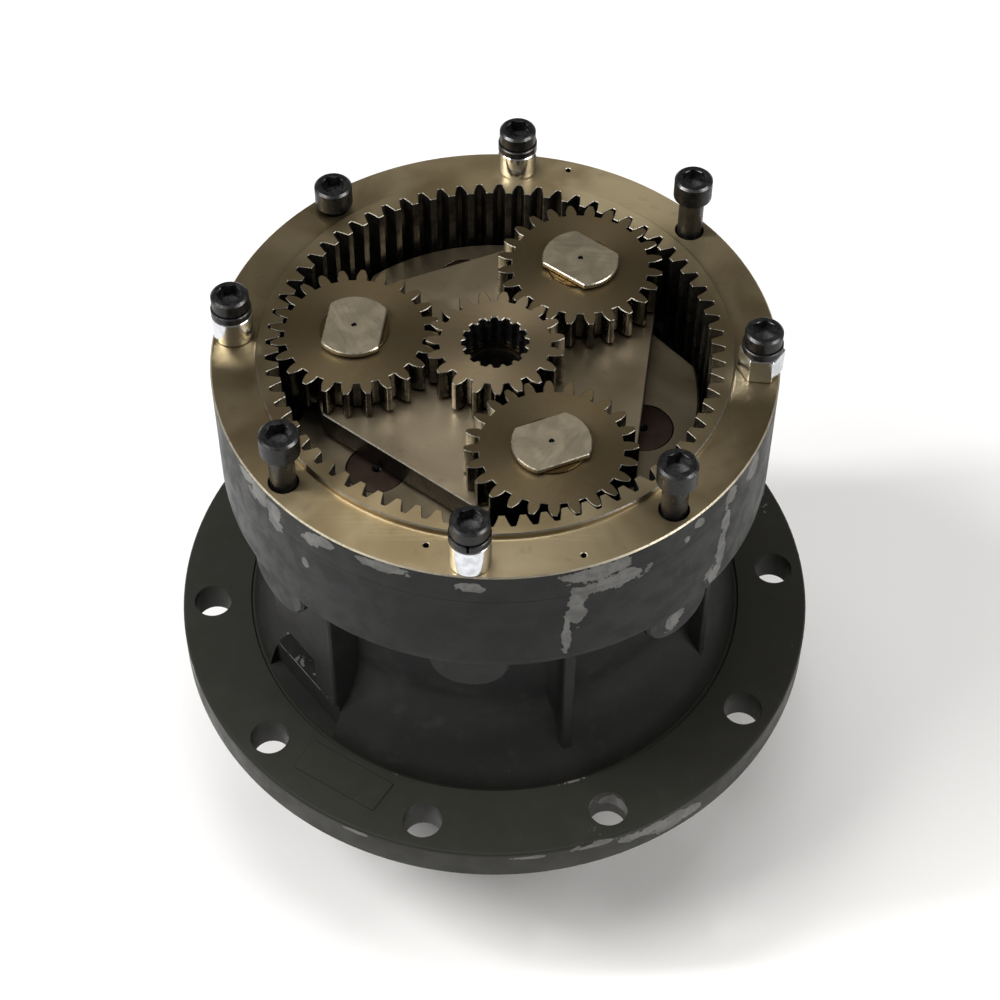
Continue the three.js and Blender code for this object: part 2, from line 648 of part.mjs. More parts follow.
function secondCarrier() {
  const flatAngle = ORBIT2_ANGLE + Math.PI / 3;
  const upper = lobedPlate(CARRIER2.radius, CARRIER2.flat, flatAngle,
    SECOND.upperPlateBottom, SECOND.upperPlateTop);
  const lower = ring(0, CARRIER2.lowerRadius, SECOND.lowerPlateBottom, SECOND.lowerPlateTop,
    SEGMENTS.large);
  const hub = revolve([[0, HUB_BOTTOM], [CARRIER2.hubRadius - 8, HUB_BOTTOM],
    [CARRIER2.hubRadius, SECOND.lowerPlateBottom + 1], [0, SECOND.lowerPlateBottom + 1]]);
  const bridges = ORBIT2_ANGLES.map((a) => {
    const bridge = box(BRIDGE.depth, BRIDGE.width, SECOND.upperPlateBottom - SECOND.lowerPlateTop + 2,
      BRIDGE.radius, 0, (SECOND.upperPlateBottom + SECOND.lowerPlateTop) / 2);
    return turned(bridge, a + Math.PI / 3);
  });
  const sunOpening = ring(0, CARRIER2.sunOpening, SECOND.lowerPlateTop, SECOND.upperPlateTop + 1);
  const pinHoles = ORBIT2_ANGLES.map((a) => post(PIN2_RADIUS + 0.5,
    SECOND.lowerPlateBottom + 4, SECOND.upperPlateTop + 1, ORBIT2, a));
  const spline = prism(splineOutline(OUTPUT_SPLINE.teeth, OUTPUT_SPLINE.minor,
    OUTPUT_SPLINE.major), HUB_BOTTOM - 1, SECOND.lowerPlateTop + 1);
  const ringSeat = ring(0, 46, SECOND.lowerPlateTop - 5, SECOND.lowerPlateTop + 1);
  return cut(join(upper, lower, hub, ...bridges), sunOpening, spline, ringSeat, ...pinHoles);
}

place('second_carrier', secondCarrier(), MATERIAL.machined);

ORBIT2_ANGLES.forEach((angle, i) => {
  const centre = polar(ORBIT2, angle);
  const at = { x: centre.x, y: centre.y };
  const number = i + 1;
  const gear = prism(
    gearOutline({
      teeth: TEETH.planet2,
      shift: SHIFT.planet2,
      tip: tipRadius(TEETH.planet2, SHIFT.planet2, 0.95),
      root: rootRadius(TEETH.planet2, SHIFT.planet2),
      phase: PLANET2_SPACES[i] + Math.PI / TEETH.planet2,
    }),
    SECOND.planetBottom,
    SECOND.planetTop,
    [circle(PLANET2_BORE + 0.6)],
  );
  place(`second_planet_gear_${number}`, gear, MATERIAL.gearFace, at);
  place(`second_planet_bush_${number}`,
    ring(PIN2_RADIUS + 0.6, PLANET2_BORE, SECOND.planetBottom + 0.4, SECOND.planetTop - 0.4, SEGMENTS.small),
    MATERIAL.bronze, at);
  const pin = cut(
    ring(0, PIN2_RADIUS, SECOND.lowerPlateBottom + 4.3, SECOND.upperPlateTop - 0.2, SEGMENTS.small),
    ring(0, 1.6, SECOND.upperPlateTop - 3, SECOND.upperPlateTop + 1, 8),
  );
  place(`second_planet_pin_${number}`, pin, MATERIAL.darkPin, at);
});

// ---------------------------------------------------------------- output shaft and bearings

const PINION_MODULE = 8;
const PINION = {
  tip: PINION_MODULE * (TEETH.pinion / 2 + 1 + SHIFT.pinion) - 1,
  root: PINION_MODULE * (TEETH.pinion / 2 - 1.25 + SHIFT.pinion),
};
const SHAFT_TOP = 279.4;
const SNAP_RING = { bottom: 274.4, top: 277.2, groove: 36 };

function outputShaft() {
  const pinion = prism(gearOutline({
    teeth: TEETH.pinion,
    shift: SHIFT.pinion,
    tip: PINION.tip,
    root: PINION.root,
    module: PINION_MODULE,
  }), 0, Z.pinionTop);
  const shaft = revolve([
    [0, 1],
    [PINION.root - 1, 1],
    [PINION.root - 1, Z.pinionTop],
    [SEAL.journal, Z.pinionTop],
    [SEAL.journal, SEAL.top + 1],
    [BEARING_LOWER.bore - 0.3, SEAL.top + 1],
    [BEARING_LOWER.bore - 0.3, BEARING_LOWER.top + 4],
    [BEARING_UPPER.bore - 0.3, 150],
    [BEARING_UPPER.bore - 0.3, HUB_BOTTOM - 1],
    [OUTPUT_SPLINE.minor - 1, HUB_BOTTOM - 1],
    [OUTPUT_SPLINE.minor - 1, SHAFT_TOP],
    [0, SHAFT_TOP],
  ]);
  const spline = prism(splineOutline(OUTPUT_SPLINE.teeth, OUTPUT_SPLINE.minor - FIT_GAP,
    OUTPUT_SPLINE.major - FIT_GAP, 0, 0.46), HUB_BOTTOM - 2, SHAFT_TOP);
  const groove = ring(SNAP_RING.groove, 60, SNAP_RING.bottom - 0.2, SNAP_RING.top + 0.2);
  const centreDrill = revolve([[0, -1], [6, -1], [0, 6]], SEGMENTS.small);
  return cut(join(pinion, shaft, spline), groove, centreDrill);
}

place('output_pinion_shaft', outputShaft(), MATERIAL.machined);

const snapRing = cut(
  ring(SNAP_RING.groove + FIT_GAP, 44.5, SNAP_RING.bottom, SNAP_RING.top),
  box(20, 8, 10, 40, 0, SNAP_RING.bottom),
);
place('output_snap_ring', snapRing, MATERIAL.blackOxide);

/** Cup, cone and roller set of a tapered roller bearing, wide end at the top if `wideTop`. */
function taperedBearing(name, { bottom, top, bore, outer }, wideTop, rollers) {
  const height = top - bottom;
  const middle = (bore + outer) / 2 + 1;
  const rollerRadius = (outer - bore) * 0.17;
  const slope = wideTop ? 2.5 : -2.5;
  const half = rollerRadius + 0.8;
  place(`${name}_cup`, revolve([
    [outer, bottom],
    [outer, top],
    [middle + half + slope, top],
    [middle + half - slope, bottom],
  ]), MATERIAL.bearing);
  place(`${name}_cone`, revolve([
    [bore, bottom],
    [middle - half - slope, bottom],
    [middle - half + slope, top],
    [bore, top],
  ]), MATERIAL.bearing);
  const cage = revolve([
    [middle - 1 - slope * 0.9, bottom + 3],
    [middle + 1 - slope * 0.9, bottom + 3],
    [middle + 1 + slope * 0.9, top - 3],
    [middle - 1 + slope * 0.9, top - 3],
  ]);
  const tilt = Math.atan2(2 * slope, height);
  const roller = new THREE.CylinderGeometry(rollerRadius, rollerRadius, height - 8, 6);
  roller.rotateX(Math.PI / 2).rotateY(tilt).translate(middle, 0, (bottom + top) / 2);
  const set = around(rollers).map((a) => turned(solid(roller), a));
  place(`${name}_rollers`, join(cage, ...set), MATERIAL.bearing);
}

taperedBearing('upper_bearing', BEARING_UPPER, true, 8);
taperedBearing('lower_bearing', BEARING_LOWER, false, 9);

place('bearing_spacer', ring(BEARING_UPPER.bore + 0.3, 52, 152, BEARING_UPPER.bottom - 0.3),
  MATERIAL.bearing);
place('oil_seal', revolve([
  [SEAL.journal + 0.6, SEAL.bottom + 4],
  [SEAL.journal + 4, SEAL.bottom],
  [BEARING_LOWER.outer, SEAL.bottom],
  [BEARING_LOWER.outer, SEAL.top],
  [BEARING_LOWER.outer - 5, SEAL.top],
  [SEAL.journal + 5, SEAL.bottom + 5],
]), MATERIAL.rubber);

export default group;
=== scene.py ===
"""Looks of the two-stage planetary swing gearbox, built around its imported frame.

Lengths below are millimetres, +Z up, with the origin at the centre of the output
pinion's lower face. Meshes are scaled to metres as they are made.
"""

import json
import math

import bmesh
import bpy
from mathutils import Matrix, Vector
from mathutils.geometry import tessellate_polygon


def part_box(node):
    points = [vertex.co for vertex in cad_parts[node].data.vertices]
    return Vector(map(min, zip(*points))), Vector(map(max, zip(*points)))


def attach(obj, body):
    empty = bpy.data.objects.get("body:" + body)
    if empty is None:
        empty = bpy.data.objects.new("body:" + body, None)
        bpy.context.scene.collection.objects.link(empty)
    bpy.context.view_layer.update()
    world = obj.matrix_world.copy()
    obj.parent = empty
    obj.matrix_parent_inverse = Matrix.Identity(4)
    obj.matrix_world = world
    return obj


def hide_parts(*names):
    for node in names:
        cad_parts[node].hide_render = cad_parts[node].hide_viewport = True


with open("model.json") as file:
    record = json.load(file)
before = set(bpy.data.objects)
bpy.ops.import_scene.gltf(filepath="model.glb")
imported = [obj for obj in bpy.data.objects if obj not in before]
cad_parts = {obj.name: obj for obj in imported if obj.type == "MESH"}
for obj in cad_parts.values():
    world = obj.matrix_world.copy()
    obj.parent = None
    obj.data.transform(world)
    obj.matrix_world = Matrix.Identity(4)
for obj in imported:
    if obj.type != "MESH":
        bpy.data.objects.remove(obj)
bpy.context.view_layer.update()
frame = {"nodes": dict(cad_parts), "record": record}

MM = 0.001
TAU = 2 * math.pi
RECORD = frame["record"]
NODE_BODY = {n: body for body, nodes in RECORD["behaviour"]["bodies"].items() for n in nodes}
NODE_SLOT = {row["node"]: row["material_slot"] for row in RECORD["subparts"]}


def low(node):
    """Lowest height of a CAD node, in millimetres."""
    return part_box(node)[0][2] / MM


def high(node):
    """Highest height of a CAD node, in millimetres."""
    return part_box(node)[1][2] / MM


# ---------------------------------------------------------------- driving dimensions

GEAR_MODULE = 3.5
PRESSURE_ANGLE = math.radians(20)
BACKLASH = 0.44

RING_TEETH, SUN1_TEETH, PLANET1_TEETH, SUN2_TEETH, PLANET2_TEETH, PINION_TEETH = 68, 19, 24, 28, 20, 12
SHIFT = {"ring": -0.239, "sun1": 0.262, "planet1": 0, "sun2": 0.239, "planet2": -0.239, "pinion": 0.3}
ORBIT1 = 21.75 * GEAR_MODULE
ORBIT2 = 24 * GEAR_MODULE
ORBIT1_ANGLES = [math.radians(-67.6 + 120 * i) for i in range(3)]
ORBIT2_ANGLES = [math.radians(-18.5 + 120 * i) for i in range(3)]
SUN1_PHASE = math.radians(-69.3)

DRUM_RADIUS = 152
FLANGE_RADIUS = 187
NOSE_RADIUS = 118
NECK_RADIUS = 121.5
SLEEVE_RADIUS = 131
SPIGOT_RADIUS = 127.7
RING_ROOT_RADIUS = 122.5
RING_TIP_RADIUS = 115.5
SCREW_CIRCLE = 141
SCREW_ANGLES = [math.radians(85 + 45 * i) for i in range(8)]
SCREW_HOLE_RADIUS = 7.9
MOUNT_CIRCLE = 169
MOUNT_ANGLES = [math.radians(4.3 + 36 * i) for i in range(10)]
MOUNT_HOLE_RADIUS = 11
STEP_RADIUS = 144.1
DOWELS = [(144.3, 73.4), (135.6, -104.7), (144.2, -72.1)]

NOSE_BOTTOM, FLANGE_BOTTOM, FLANGE_TOP, LEDGE = 84, 120, 142, 170
BAND_UNDERSIDE, BAND_BOTTOM, SLEEVE_BOTTOM, SEAM, RIM = 271.5, 276, 279.5, 331.5, 352
SPIGOT_TOP = 356

FINE = 192          # segments of the large round castings
MEDIUM = 72
SMALL = 40


# ---------------------------------------------------------------- outlines

def polar(radius, angle):
    return (radius * math.cos(angle), radius * math.sin(angle))


def circle(radius, segments, centre=(0, 0), first=0.0):
    return [(centre[0] + radius * math.cos(first + TAU * i / segments),
             centre[1] + radius * math.sin(first + TAU * i / segments)) for i in range(segments)]


def rounded(corners, steps=3):
    """A closed outline with each corner that has a third value rounded to that radius."""
    outline = []
    count = len(corners)
    for i, corner in enumerate(corners):
        here = Vector(corner[:2])
        if len(corner) < 3:
            outline.append(tuple(here))
            continue
        before = Vector(corners[i - 1][:2]) - here
        after = Vector(corners[(i + 1) % count][:2]) - here
        reach = min(before.length, after.length) * 0.46
        half = before.angle(after) / 2
        cut = min(corner[2] / math.tan(half), reach)
        start = here + before.normalized() * cut
        end = here + after.normalized() * cut
        for k in range(steps + 1):
            t = k / steps
            outline.append(tuple((1 - t) ** 2 * start + 2 * t * (1 - t) * here + t * t * end))
    return outline


def curve(start, first, second, end, steps):
    """Points on a cubic curve, both ends included."""
    points = []
    for k in range(steps + 1):
        t = k / steps
        shares = ((1 - t) ** 3, 3 * t * (1 - t) ** 2, 3 * t * t * (1 - t), t ** 3)
        points.append(tuple(sum(share * point[i] for share, point in zip(shares, (start, first, second, end)))
                            for i in (0, 1)))
    return points


def inset(outline, distance):
    """The outline moved inwards by a distance, with mitred corners."""
    count = len(outline)
    moved = []
    for i in range(count):
        here = Vector(outline[i])
        first = (here - Vector(outline[i - 1])).normalized()
        second = (Vector(outline[(i + 1) % count]) - here).normalized()
        normal_a = Vector((-first.y, first.x))
        normal_b = Vector((-second.y, second.x))
        share = max(0.35, 1 + normal_a.dot(normal_b))
        moved.append(tuple(here + (normal_a + normal_b) * distance / share))
    return moved


def involute(angle):
    return math.tan(angle) - angle


def gear_outline(teeth, shift, tip, root, phase=0.0, module=GEAR_MODULE, space=False, steps=5):
    """An involute gear, counter-clockwise, or an internal gear's tooth spaces if space is set."""
    pitch = module * teeth / 2
    base = pitch * math.cos(PRESSURE_ANGLE)
    slack = (1 if space else -1) * BACKLASH / 4 / pitch
    at_base = (math.pi / 2 + 2 * shift * math.tan(PRESSURE_ANGLE)) / teeth + involute(PRESSURE_ANGLE) + slack
    corners = []
    for tooth in range(teeth):
        centre = phase + TAU * tooth / teeth
        flank = []
        for k in range(steps + 1):
            radius = root + (tip - root) * k / steps
            half = at_base - involute(math.acos(min(1, base / radius)))
            blend = 0.1 * module if k in (0, steps) else None
            flank.append((radius, half, blend))
        for side, points in ((-1, flank), (1, flank[::-1])):
            for radius, half, blend in points:
                point = polar(radius, centre + side * half)
                corners.append(point + (blend * (1.6 if radius == root else 1),) if blend else point)
    return rounded(corners, steps=2)


def tip_radius(teeth, shift, addendum):
    return GEAR_MODULE * (teeth / 2 + addendum + shift)


def root_radius(teeth, shift):
    return GEAR_MODULE * (teeth / 2 - 1.25 + shift)


def spline_outline(teeth, minor, major, phase=0.0, fill=0.5):
    pitch = TAU / teeth
    corners = []
    for tooth in range(teeth):
        centre = phase + pitch * tooth
        corners.append(polar(minor, centre - 0.5 * (fill + 0.25) * pitch) + (0.4,))
        corners.append(polar(major, centre - 0.5 * (fill - 0.1) * pitch) + (0.3,))
        corners.append(polar(major, centre + 0.5 * (fill - 0.1) * pitch) + (0.3,))
        corners.append(polar(minor, centre + 0.5 * (fill + 0.25) * pitch) + (0.4,))
    return rounded(corners, steps=2)


def lobed_outline(radius, flat, angle, blend):
    """Disc cut to three flats, with angle the azimuth of one flat's normal."""
    half = math.acos(flat / radius)
    corners = []
    for k in range(3):
        normal = angle + TAU * k / 3
        span = TAU / 3 - 2 * half
        count = 24
        for i in range(count + 1):
            point = polar(radius, normal + half + span * i / count)
            corners.append(point + (blend,) if i in (0, count) else point)
    return rounded(corners)


# ---------------------------------------------------------------- meshes

def mesh_object(name, vertices, faces, materials, indices=None, sharp=32):
    """A mesh piece from points in millimetres, smooth-shaded up to a crease angle in degrees."""
    mesh = bpy.data.meshes.new(name)
    mesh.from_pydata([Vector(v) * MM for v in vertices], [], faces)
    slots = list(dict.fromkeys(materials))
    for material in slots:
        mesh.materials.append(material)
    if indices:
        mesh.polygons.foreach_set("material_index", [slots.index(materials[i]) for i in indices])
    work = bmesh.new()
    work.from_mesh(mesh)
    bmesh.ops.remove_doubles(work, verts=work.verts, dist=1e-7)
    bmesh.ops.recalc_face_normals(work, faces=work.faces)
    work.to_mesh(mesh)
    work.free()
    crease(mesh, sharp)
    piece = bpy.data.objects.new(name, mesh)
    bpy.context.scene.collection.objects.link(piece)
    return piece


def crease(mesh, sharp=32):
    mesh.shade_smooth()
    mesh.set_sharp_from_angle(angle=math.radians(sharp))


def lathe(name, corners, materials, segments=FINE, bands=None, sharp=32):
    """Revolve a closed profile of (radius, height[, blend]) about Z. bands gives, for a
    radius and height, the material index of the face there."""
    profile = rounded(corners)
    rings, vertices = [], []
    for radius, height in profile:
        if radius < 1e-6:
            rings.append([len(vertices)] * segments)
            vertices.append((0, 0, height))
            continue
        rings.append(list(range(len(vertices), len(vertices) + segments)))
        vertices += [(*polar(radius, TAU * k / segments), height) for k in range(segments)]
    faces, indices = [], []
    for i, ring in enumerate(rings):
        other = rings[(i + 1) % len(rings)]
        if ring[0] == ring[1] and other[0] == other[1]:
            continue
        middle = [(profile[i][k] + profile[(i + 1) % len(rings)][k]) / 2 for k in (0, 1)]
        index = bands(*middle) if bands else 0
        for k in range(segments):
            n = (k + 1) % segments
            corners_of_face = dict.fromkeys((ring[k], ring[n], other[n], other[k]))
            faces.append(tuple(corners_of_face))
            indices.append(index)
    return mesh_object(name, vertices, faces, materials, indices, sharp)


CAP, SIDE, EDGE, BORE = 0, 1, 2, 3


def plate(name, outline, bottom, top, materials, holes=(), chamfer=0.0, hole_chamfer=0.0,
          ends=(True, True), sharp=32):
    """An extruded outline with chamfered edges. Material 0 is on its flat faces, 1 on its
    sides, 2 on its chamfers and 3 in its holes, as far as the list goes."""
    loops = [(list(outline), chamfer, SIDE)] + [(list(h)[::-1], hole_chamfer, BORE) for h in holes]
    vertices, faces, indices = [], [], []
    caps = {bottom: [], top: []}
    for points, size, index in loops:
        count = len(points)
        shrunk = inset(points, size) if size else points
        levels = [(shrunk if ends[0] else points, bottom), (points, bottom + size * ends[0]),
                  (points, top - size * ends[1]), (shrunk if ends[1] else points, top)]
        starts = []
        for ring, height in levels:
            starts.append(len(vertices))
            vertices += [(x, y, height) for x, y in ring]
        for level, kind in enumerate((EDGE, index, EDGE)):
            if levels[level][1] == levels[level + 1][1]:
                continue
            for k in range(count):
                n = (k + 1) % count
                a, b = starts[level], starts[level + 1]
                faces.append((a + k, a + n, b + n, b + k))
                indices.append(kind)
        caps[bottom].append((starts[0], [Vector((x, y, 0)) for x, y in levels[0][0]]))
        caps[top].append((starts[3], [Vector((x, y, 0)) for x, y in levels[3][0]]))
    for loops_of_cap in caps.values():
        numbers = [start + k for start, ring in loops_of_cap for k in range(len(ring))]
        for triangle in tessellate_polygon([ring for _, ring in loops_of_cap]):
            faces.append(tuple(numbers[k] for k in triangle))
            indices.append(CAP)
    last = len(materials) - 1
    return mesh_object(name, vertices, faces, materials, [min(i, last) for i in indices], sharp)


def boolean(base, operation, *tools):
    """Join or cut tools and use them up."""
    for tool in tools:
        modifier = base.modifiers.new("boolean", "BOOLEAN")
        modifier.operation = operation
        modifier.solver = "MANIFOLD"
        modifier.material_mode = "TRANSFER"
        modifier.object = tool
    bpy.context.view_layer.update()
    made = bpy.data.meshes.new_from_object(base.evaluated_get(bpy.context.evaluated_depsgraph_get()))
    base.modifiers.clear()
    base.data = made
    for tool in tools:
        bpy.data.objects.remove(tool)
    crease(made)
    return base


def merged(pieces):
    """Several separate pieces as one mesh."""
    work = bmesh.new()
    for piece in pieces:
        bpy.context.view_layer.update()
        copy = piece.data.copy()
        copy.transform(piece.matrix_world)
        work.from_mesh(copy)
    first = pieces[0]
    mesh = bpy.data.meshes.new(first.name)
    for material in first.data.materials:
        mesh.materials.append(material)
    work.to_mesh(mesh)
    work.free()
    first.data = mesh
    first.matrix_world = Matrix.Identity(4)
    for piece in pieces[1:]:
        bpy.data.objects.remove(piece)
    crease(mesh)
    return first


def copy_of(piece, name):
    twin = piece.copy()
    twin.name = name
    bpy.context.scene.collection.objects.link(twin)
    return twin


def put(piece, orbit=0.0, angle=0.0, height=0.0, turn=0.0):
    """Stand a piece on a circle round the axis, turned about its own vertical axis."""
    x, y = polar(orbit, angle)
    piece.location = (x * MM, y * MM, height * MM)
    piece.rotation_euler = (0, 0, turn)
    return piece


def stand_in(piece, *nodes):
    """The piece takes the place and the body of these CAD nodes, which it hides."""
    body = NODE_BODY[nodes[0]]
    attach(piece, body)
    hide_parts(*nodes)
    return piece


# ---------------------------------------------------------------- material nodes

QUARTER_TURN = 0.25     # the highlight spreads across the turning marks, not along them


class Look:
    """A material and a short way to write its node tree."""

    def __init__(self, name, roughness=0.4, metallic=0.0, anisotropic=0.0):
        self.material = bpy.data.materials.new(name)
        self.material.use_nodes = True
        self.tree = self.material.node_tree
        self.shader = self.tree.nodes["Principled BSDF"]
        self.set(roughness=roughness, metallic=metallic)
        if anisotropic:
            self.shader.inputs["Anisotropic"].default_value = anisotropic
            self.shader.inputs["Anisotropic Rotation"].default_value = QUARTER_TURN
            tangent = self.node("ShaderNodeTangent", direction_type="RADIAL", axis="Z")
            self.wire(tangent.outputs[0], self.shader.inputs["Tangent"])

    def node(self, kind, **settings):
        node = self.tree.nodes.new(kind)
        for key, value in settings.items():
            setattr(node, key, value)
        return node

    def wire(self, value, socket):
        if isinstance(value, bpy.types.NodeSocket):
            self.tree.links.new(value, socket)
        else:
            socket.default_value = value

    def math(self, operation, *values, clamp=False):
        node = self.node("ShaderNodeMath", operation=operation, use_clamp=clamp)
        for value, socket in zip(values, node.inputs):
            self.wire(value, socket)
        return node.outputs[0]

    def place(self):
        """Position in the piece's own frame, in millimetres."""
        spot = self.node("ShaderNodeTexCoord").outputs["Object"]
        scaled = self.node("ShaderNodeVectorMath", operation="SCALE")
        self.wire(spot, scaled.inputs[0])
        self.wire(1 / MM, scaled.inputs["Scale"])
        return scaled.outputs[0]

    def parts(self, vector):
        node = self.node("ShaderNodeSeparateXYZ")
        self.wire(vector, node.inputs[0])
        return node.outputs

    def vector(self, x, y, z):
        node = self.node("ShaderNodeCombineXYZ")
        for value, socket in zip((x, y, z), node.inputs):
            self.wire(value, socket)
        return node.outputs[0]

    def round_place(self):
        """(radius, azimuth in radians, height) about the piece's own Z axis."""
        x, y, z = self.parts(self.place())
        squares = self.math("ADD", self.math("MULTIPLY", x, x), self.math("MULTIPLY", y, y))
        return self.math("SQRT", squares), self.math("ARCTAN2", y, x), z

    def noise(self, vector, scale, detail=3.0, roughness=0.55, distortion=0.0):
        node = self.node("ShaderNodeTexNoise")
        self.wire(vector, node.inputs["Vector"])
        for key, value in (("Scale", scale), ("Detail", detail), ("Roughness", roughness),
                           ("Distortion", distortion)):
            node.inputs[key].default_value = value
        return node.outputs["Fac"]

    def between(self, value, start, end, low_value=0.0, high_value=1.0):
        node = self.node("ShaderNodeMapRange", interpolation_type="SMOOTHSTEP")
        for number, socket in zip((value, start, end, low_value, high_value), node.inputs):
            self.wire(number, socket)
        return node.outputs[0]

    def mix(self, factor, first, second):
        node = self.node("ShaderNodeMix", data_type="RGBA")
        self.wire(factor, node.inputs[0])
        for colour, socket in ((first, node.inputs[6]), (second, node.inputs[7])):
            self.wire(colour if isinstance(colour, bpy.types.NodeSocket) else (*colour, 1), socket)
        return node.outputs[2]

    def set(self, **values):
        names = {"colour": "Base Color", "roughness": "Roughness", "metallic": "Metallic"}
        for key, value in values.items():
            self.wire((*value, 1) if isinstance(value, tuple) else value, self.shader.inputs[names[key]])
        return self

    def bump(self, height, distance, strength=1.0):
        """Surface relief: height 0 to 1 over a distance in millimetres."""
        node = self.node("ShaderNodeBump")
        self.wire(height, node.inputs["Height"])
        node.inputs["Distance"].default_value = distance * MM
        node.inputs["Strength"].default_value = strength
        self.wire(node.outputs[0], self.shader.inputs["Normal"])
        return self


def turned_steel(name, dark, light, roughness=0.34, anisotropic=0.72, pitch=0.9, relief=0.012):
    """Lathe-turned metal under an oil film, with fine rings round its own axis."""
    look = Look(name, metallic=1.0, anisotropic=anisotropic)
    radius, azimuth, height = look.round_place()
    rings = look.noise(look.vector(look.math("MULTIPLY", radius, pitch), azimuth,
                                   look.math("MULTIPLY", height, pitch)), 1.0, detail=5, roughness=0.7)
    film = look.noise(look.place(), 0.018, detail=3, roughness=0.5, distortion=0.6)
    stain = look.noise(look.place(), 0.09, detail=5, roughness=0.65)
    oiled = look.mix(look.between(film, 0.36, 0.66), dark, light)
    look.set(colour=look.mix(look.between(stain, 0.56, 0.78, 0.0, 0.5), oiled, tuple(0.6 * c for c in dark)))
    smear = look.between(film, 0.3, 0.7, roughness - 0.03, roughness + 0.04)
    look.set(roughness=look.math("ADD", smear, look.math("MULTIPLY", stain, 0.06)))
    return look.bump(rings, relief).material


def gear_steel(name, dark, light, roughness=0.42):
    """Hardened gear face: fine ground rings, brown oil stains and small pits."""
    look = Look(name, metallic=1.0, anisotropic=0.45)
    radius, azimuth, height = look.round_place()
    rings = look.noise(look.vector(look.math("MULTIPLY", radius, 1.6), azimuth, height), 1.0, detail=4)
    blot = look.noise(look.place(), 0.05, detail=5, roughness=0.62, distortion=0.8)
    pits = look.noise(look.place(), 1.5, detail=2)
    face = look.mix(look.between(blot, 0.35, 0.68), dark, light)
    look.set(colour=look.mix(look.between(pits, 0.66, 0.76, 0.0, 0.55), face, tuple(0.4 * c for c in dark)))
    look.set(roughness=look.between(blot, 0.3, 0.7, roughness + 0.08, roughness - 0.05))
    relief = look.math("ADD", look.math("MULTIPLY", rings, 0.7), look.math("MULTIPLY", pits, 0.3))
    return look.bump(relief, 0.02).material


def flank_steel(name, colour, roughness=0.3):
    """Hobbed tooth flanks with faint vertical drag lines and darker oil patches at random; the colours it is
    given are darkened as painted shade for deep tooth spaces and sides.
    """
    look = Look(name, metallic=1.0)
    x, y, z = look.parts(look.place())
    lines = look.noise(look.vector(x, y, look.math("MULTIPLY", z, 0.08)), 2.4, detail=4, roughness=0.6)
    oil = look.noise(look.place(), 0.12, detail=3)
    look.set(colour=look.mix(look.between(oil, 0.4, 0.65), colour, tuple(0.55 * c for c in colour)))
    look.set(roughness=look.between(lines, 0.3, 0.7, roughness - 0.08, roughness + 0.1))
    return look.bump(lines, 0.02).material


def ground_steel(name, colour, grain, roughness=0.36, angle=0.6):
    """Surface-ground metal with straight grain."""
    look = Look(name, metallic=1.0)
    x, y, z = look.parts(look.place())
    cosine, sine = math.cos(angle), math.sin(angle)
    across = look.math("ADD", look.math("MULTIPLY", x, cosine), look.math("MULTIPLY", y, sine))
    along = look.math("SUBTRACT", look.math("MULTIPLY", y, cosine), look.math("MULTIPLY", x, sine))
    stretched = look.vector(across, look.math("MULTIPLY", along, 0.05), z)
    lines = look.noise(stretched, grain, detail=4, roughness=0.7)
    cloud = look.noise(look.place(), 0.07, detail=4, roughness=0.6, distortion=0.6)
    darker = tuple(0.72 * c for c in colour)
    look.set(colour=look.mix(look.between(cloud, 0.35, 0.68), darker, colour))
    look.set(roughness=look.between(lines, 0.25, 0.75, roughness - 0.03, roughness + 0.04))
    return look.bump(lines, 0.003).material


def bright_edge(name, colour, roughness=0.22):
    """Chamfer steel with small nicks, lighter than the faces beside it: painted highlight along the gear, rim
    and pin chamfers and in the screw sockets, burnished metal elsewhere.
    """
    look = Look(name, metallic=1.0)
    nicks = look.noise(look.place(), 0.5, detail=5, roughness=0.7)
    look.set(colour=look.mix(look.between(nicks, 0.52, 0.7), colour, tuple(0.5 * c for c in colour)))
    look.set(roughness=look.between(nicks, 0.35, 0.7, roughness, roughness + 0.2))
    return look.bump(nicks, 0.02).material


def black_oxide(name, colour=(0.0068, 0.0068, 0.0072), roughness=0.32, gloss=0.2):
    """Blackened screw steel with a slight oily bloom."""
    look = Look(name)
    look.shader.inputs["Specular IOR Level"].default_value = gloss
    cloud = look.noise(look.place(), 0.25, detail=4, roughness=0.6)
    grit = look.noise(look.place(), 2.2, detail=2)
    look.set(colour=look.mix(look.between(cloud, 0.4, 0.68), colour, (0.0163, 0.0163, 0.0163)))
    look.set(roughness=look.between(cloud, 0.3, 0.7, roughness - 0.08, roughness + 0.12))
    return look.bump(grit, 0.02).material


def plated(name):
    """Bright plating, slightly clouded, with fine hoop scratches."""
    look = Look(name, metallic=1.0)
    x, y, z = look.parts(look.place())
    squeezed = look.vector(look.math("MULTIPLY", x, 0.1), look.math("MULTIPLY", y, 0.1), z)
    hoops = look.noise(squeezed, 3.0, detail=4)
    cloud = look.noise(look.place(), 0.2, detail=4)
    look.set(colour=look.mix(look.between(cloud, 0.35, 0.7), (0.70, 0.72, 0.76), (0.5, 0.52, 0.55)))
    look.set(roughness=look.between(cloud, 0.3, 0.7, 0.1, 0.26))
    return look.bump(hoops, 0.008).material


def bronze(name):
    look = Look(name, metallic=1.0)
    cloud = look.noise(look.place(), 0.3, detail=4)
    # Darkened bronze: painted shade for the bronze under the pin heads and down in the bores.
    look.set(colour=look.mix(look.between(cloud, 0.35, 0.7), (0.156, 0.109, 0.048), (0.082, 0.054, 0.027)))
    look.set(roughness=look.between(cloud, 0.3, 0.7, 0.22, 0.38))
    return look.bump(cloud, 0.02).material


def rubber(name):
    look = Look(name)
    grain = look.noise(look.place(), 1.2, detail=4)
    look.set(colour=look.mix(look.between(grain, 0.4, 0.7), (0.0163, 0.0163, 0.0163), (0.041, 0.041, 0.038)))
    look.set(roughness=look.between(grain, 0.3, 0.7, 0.55, 0.8))
    return look.bump(grain, 0.04).material
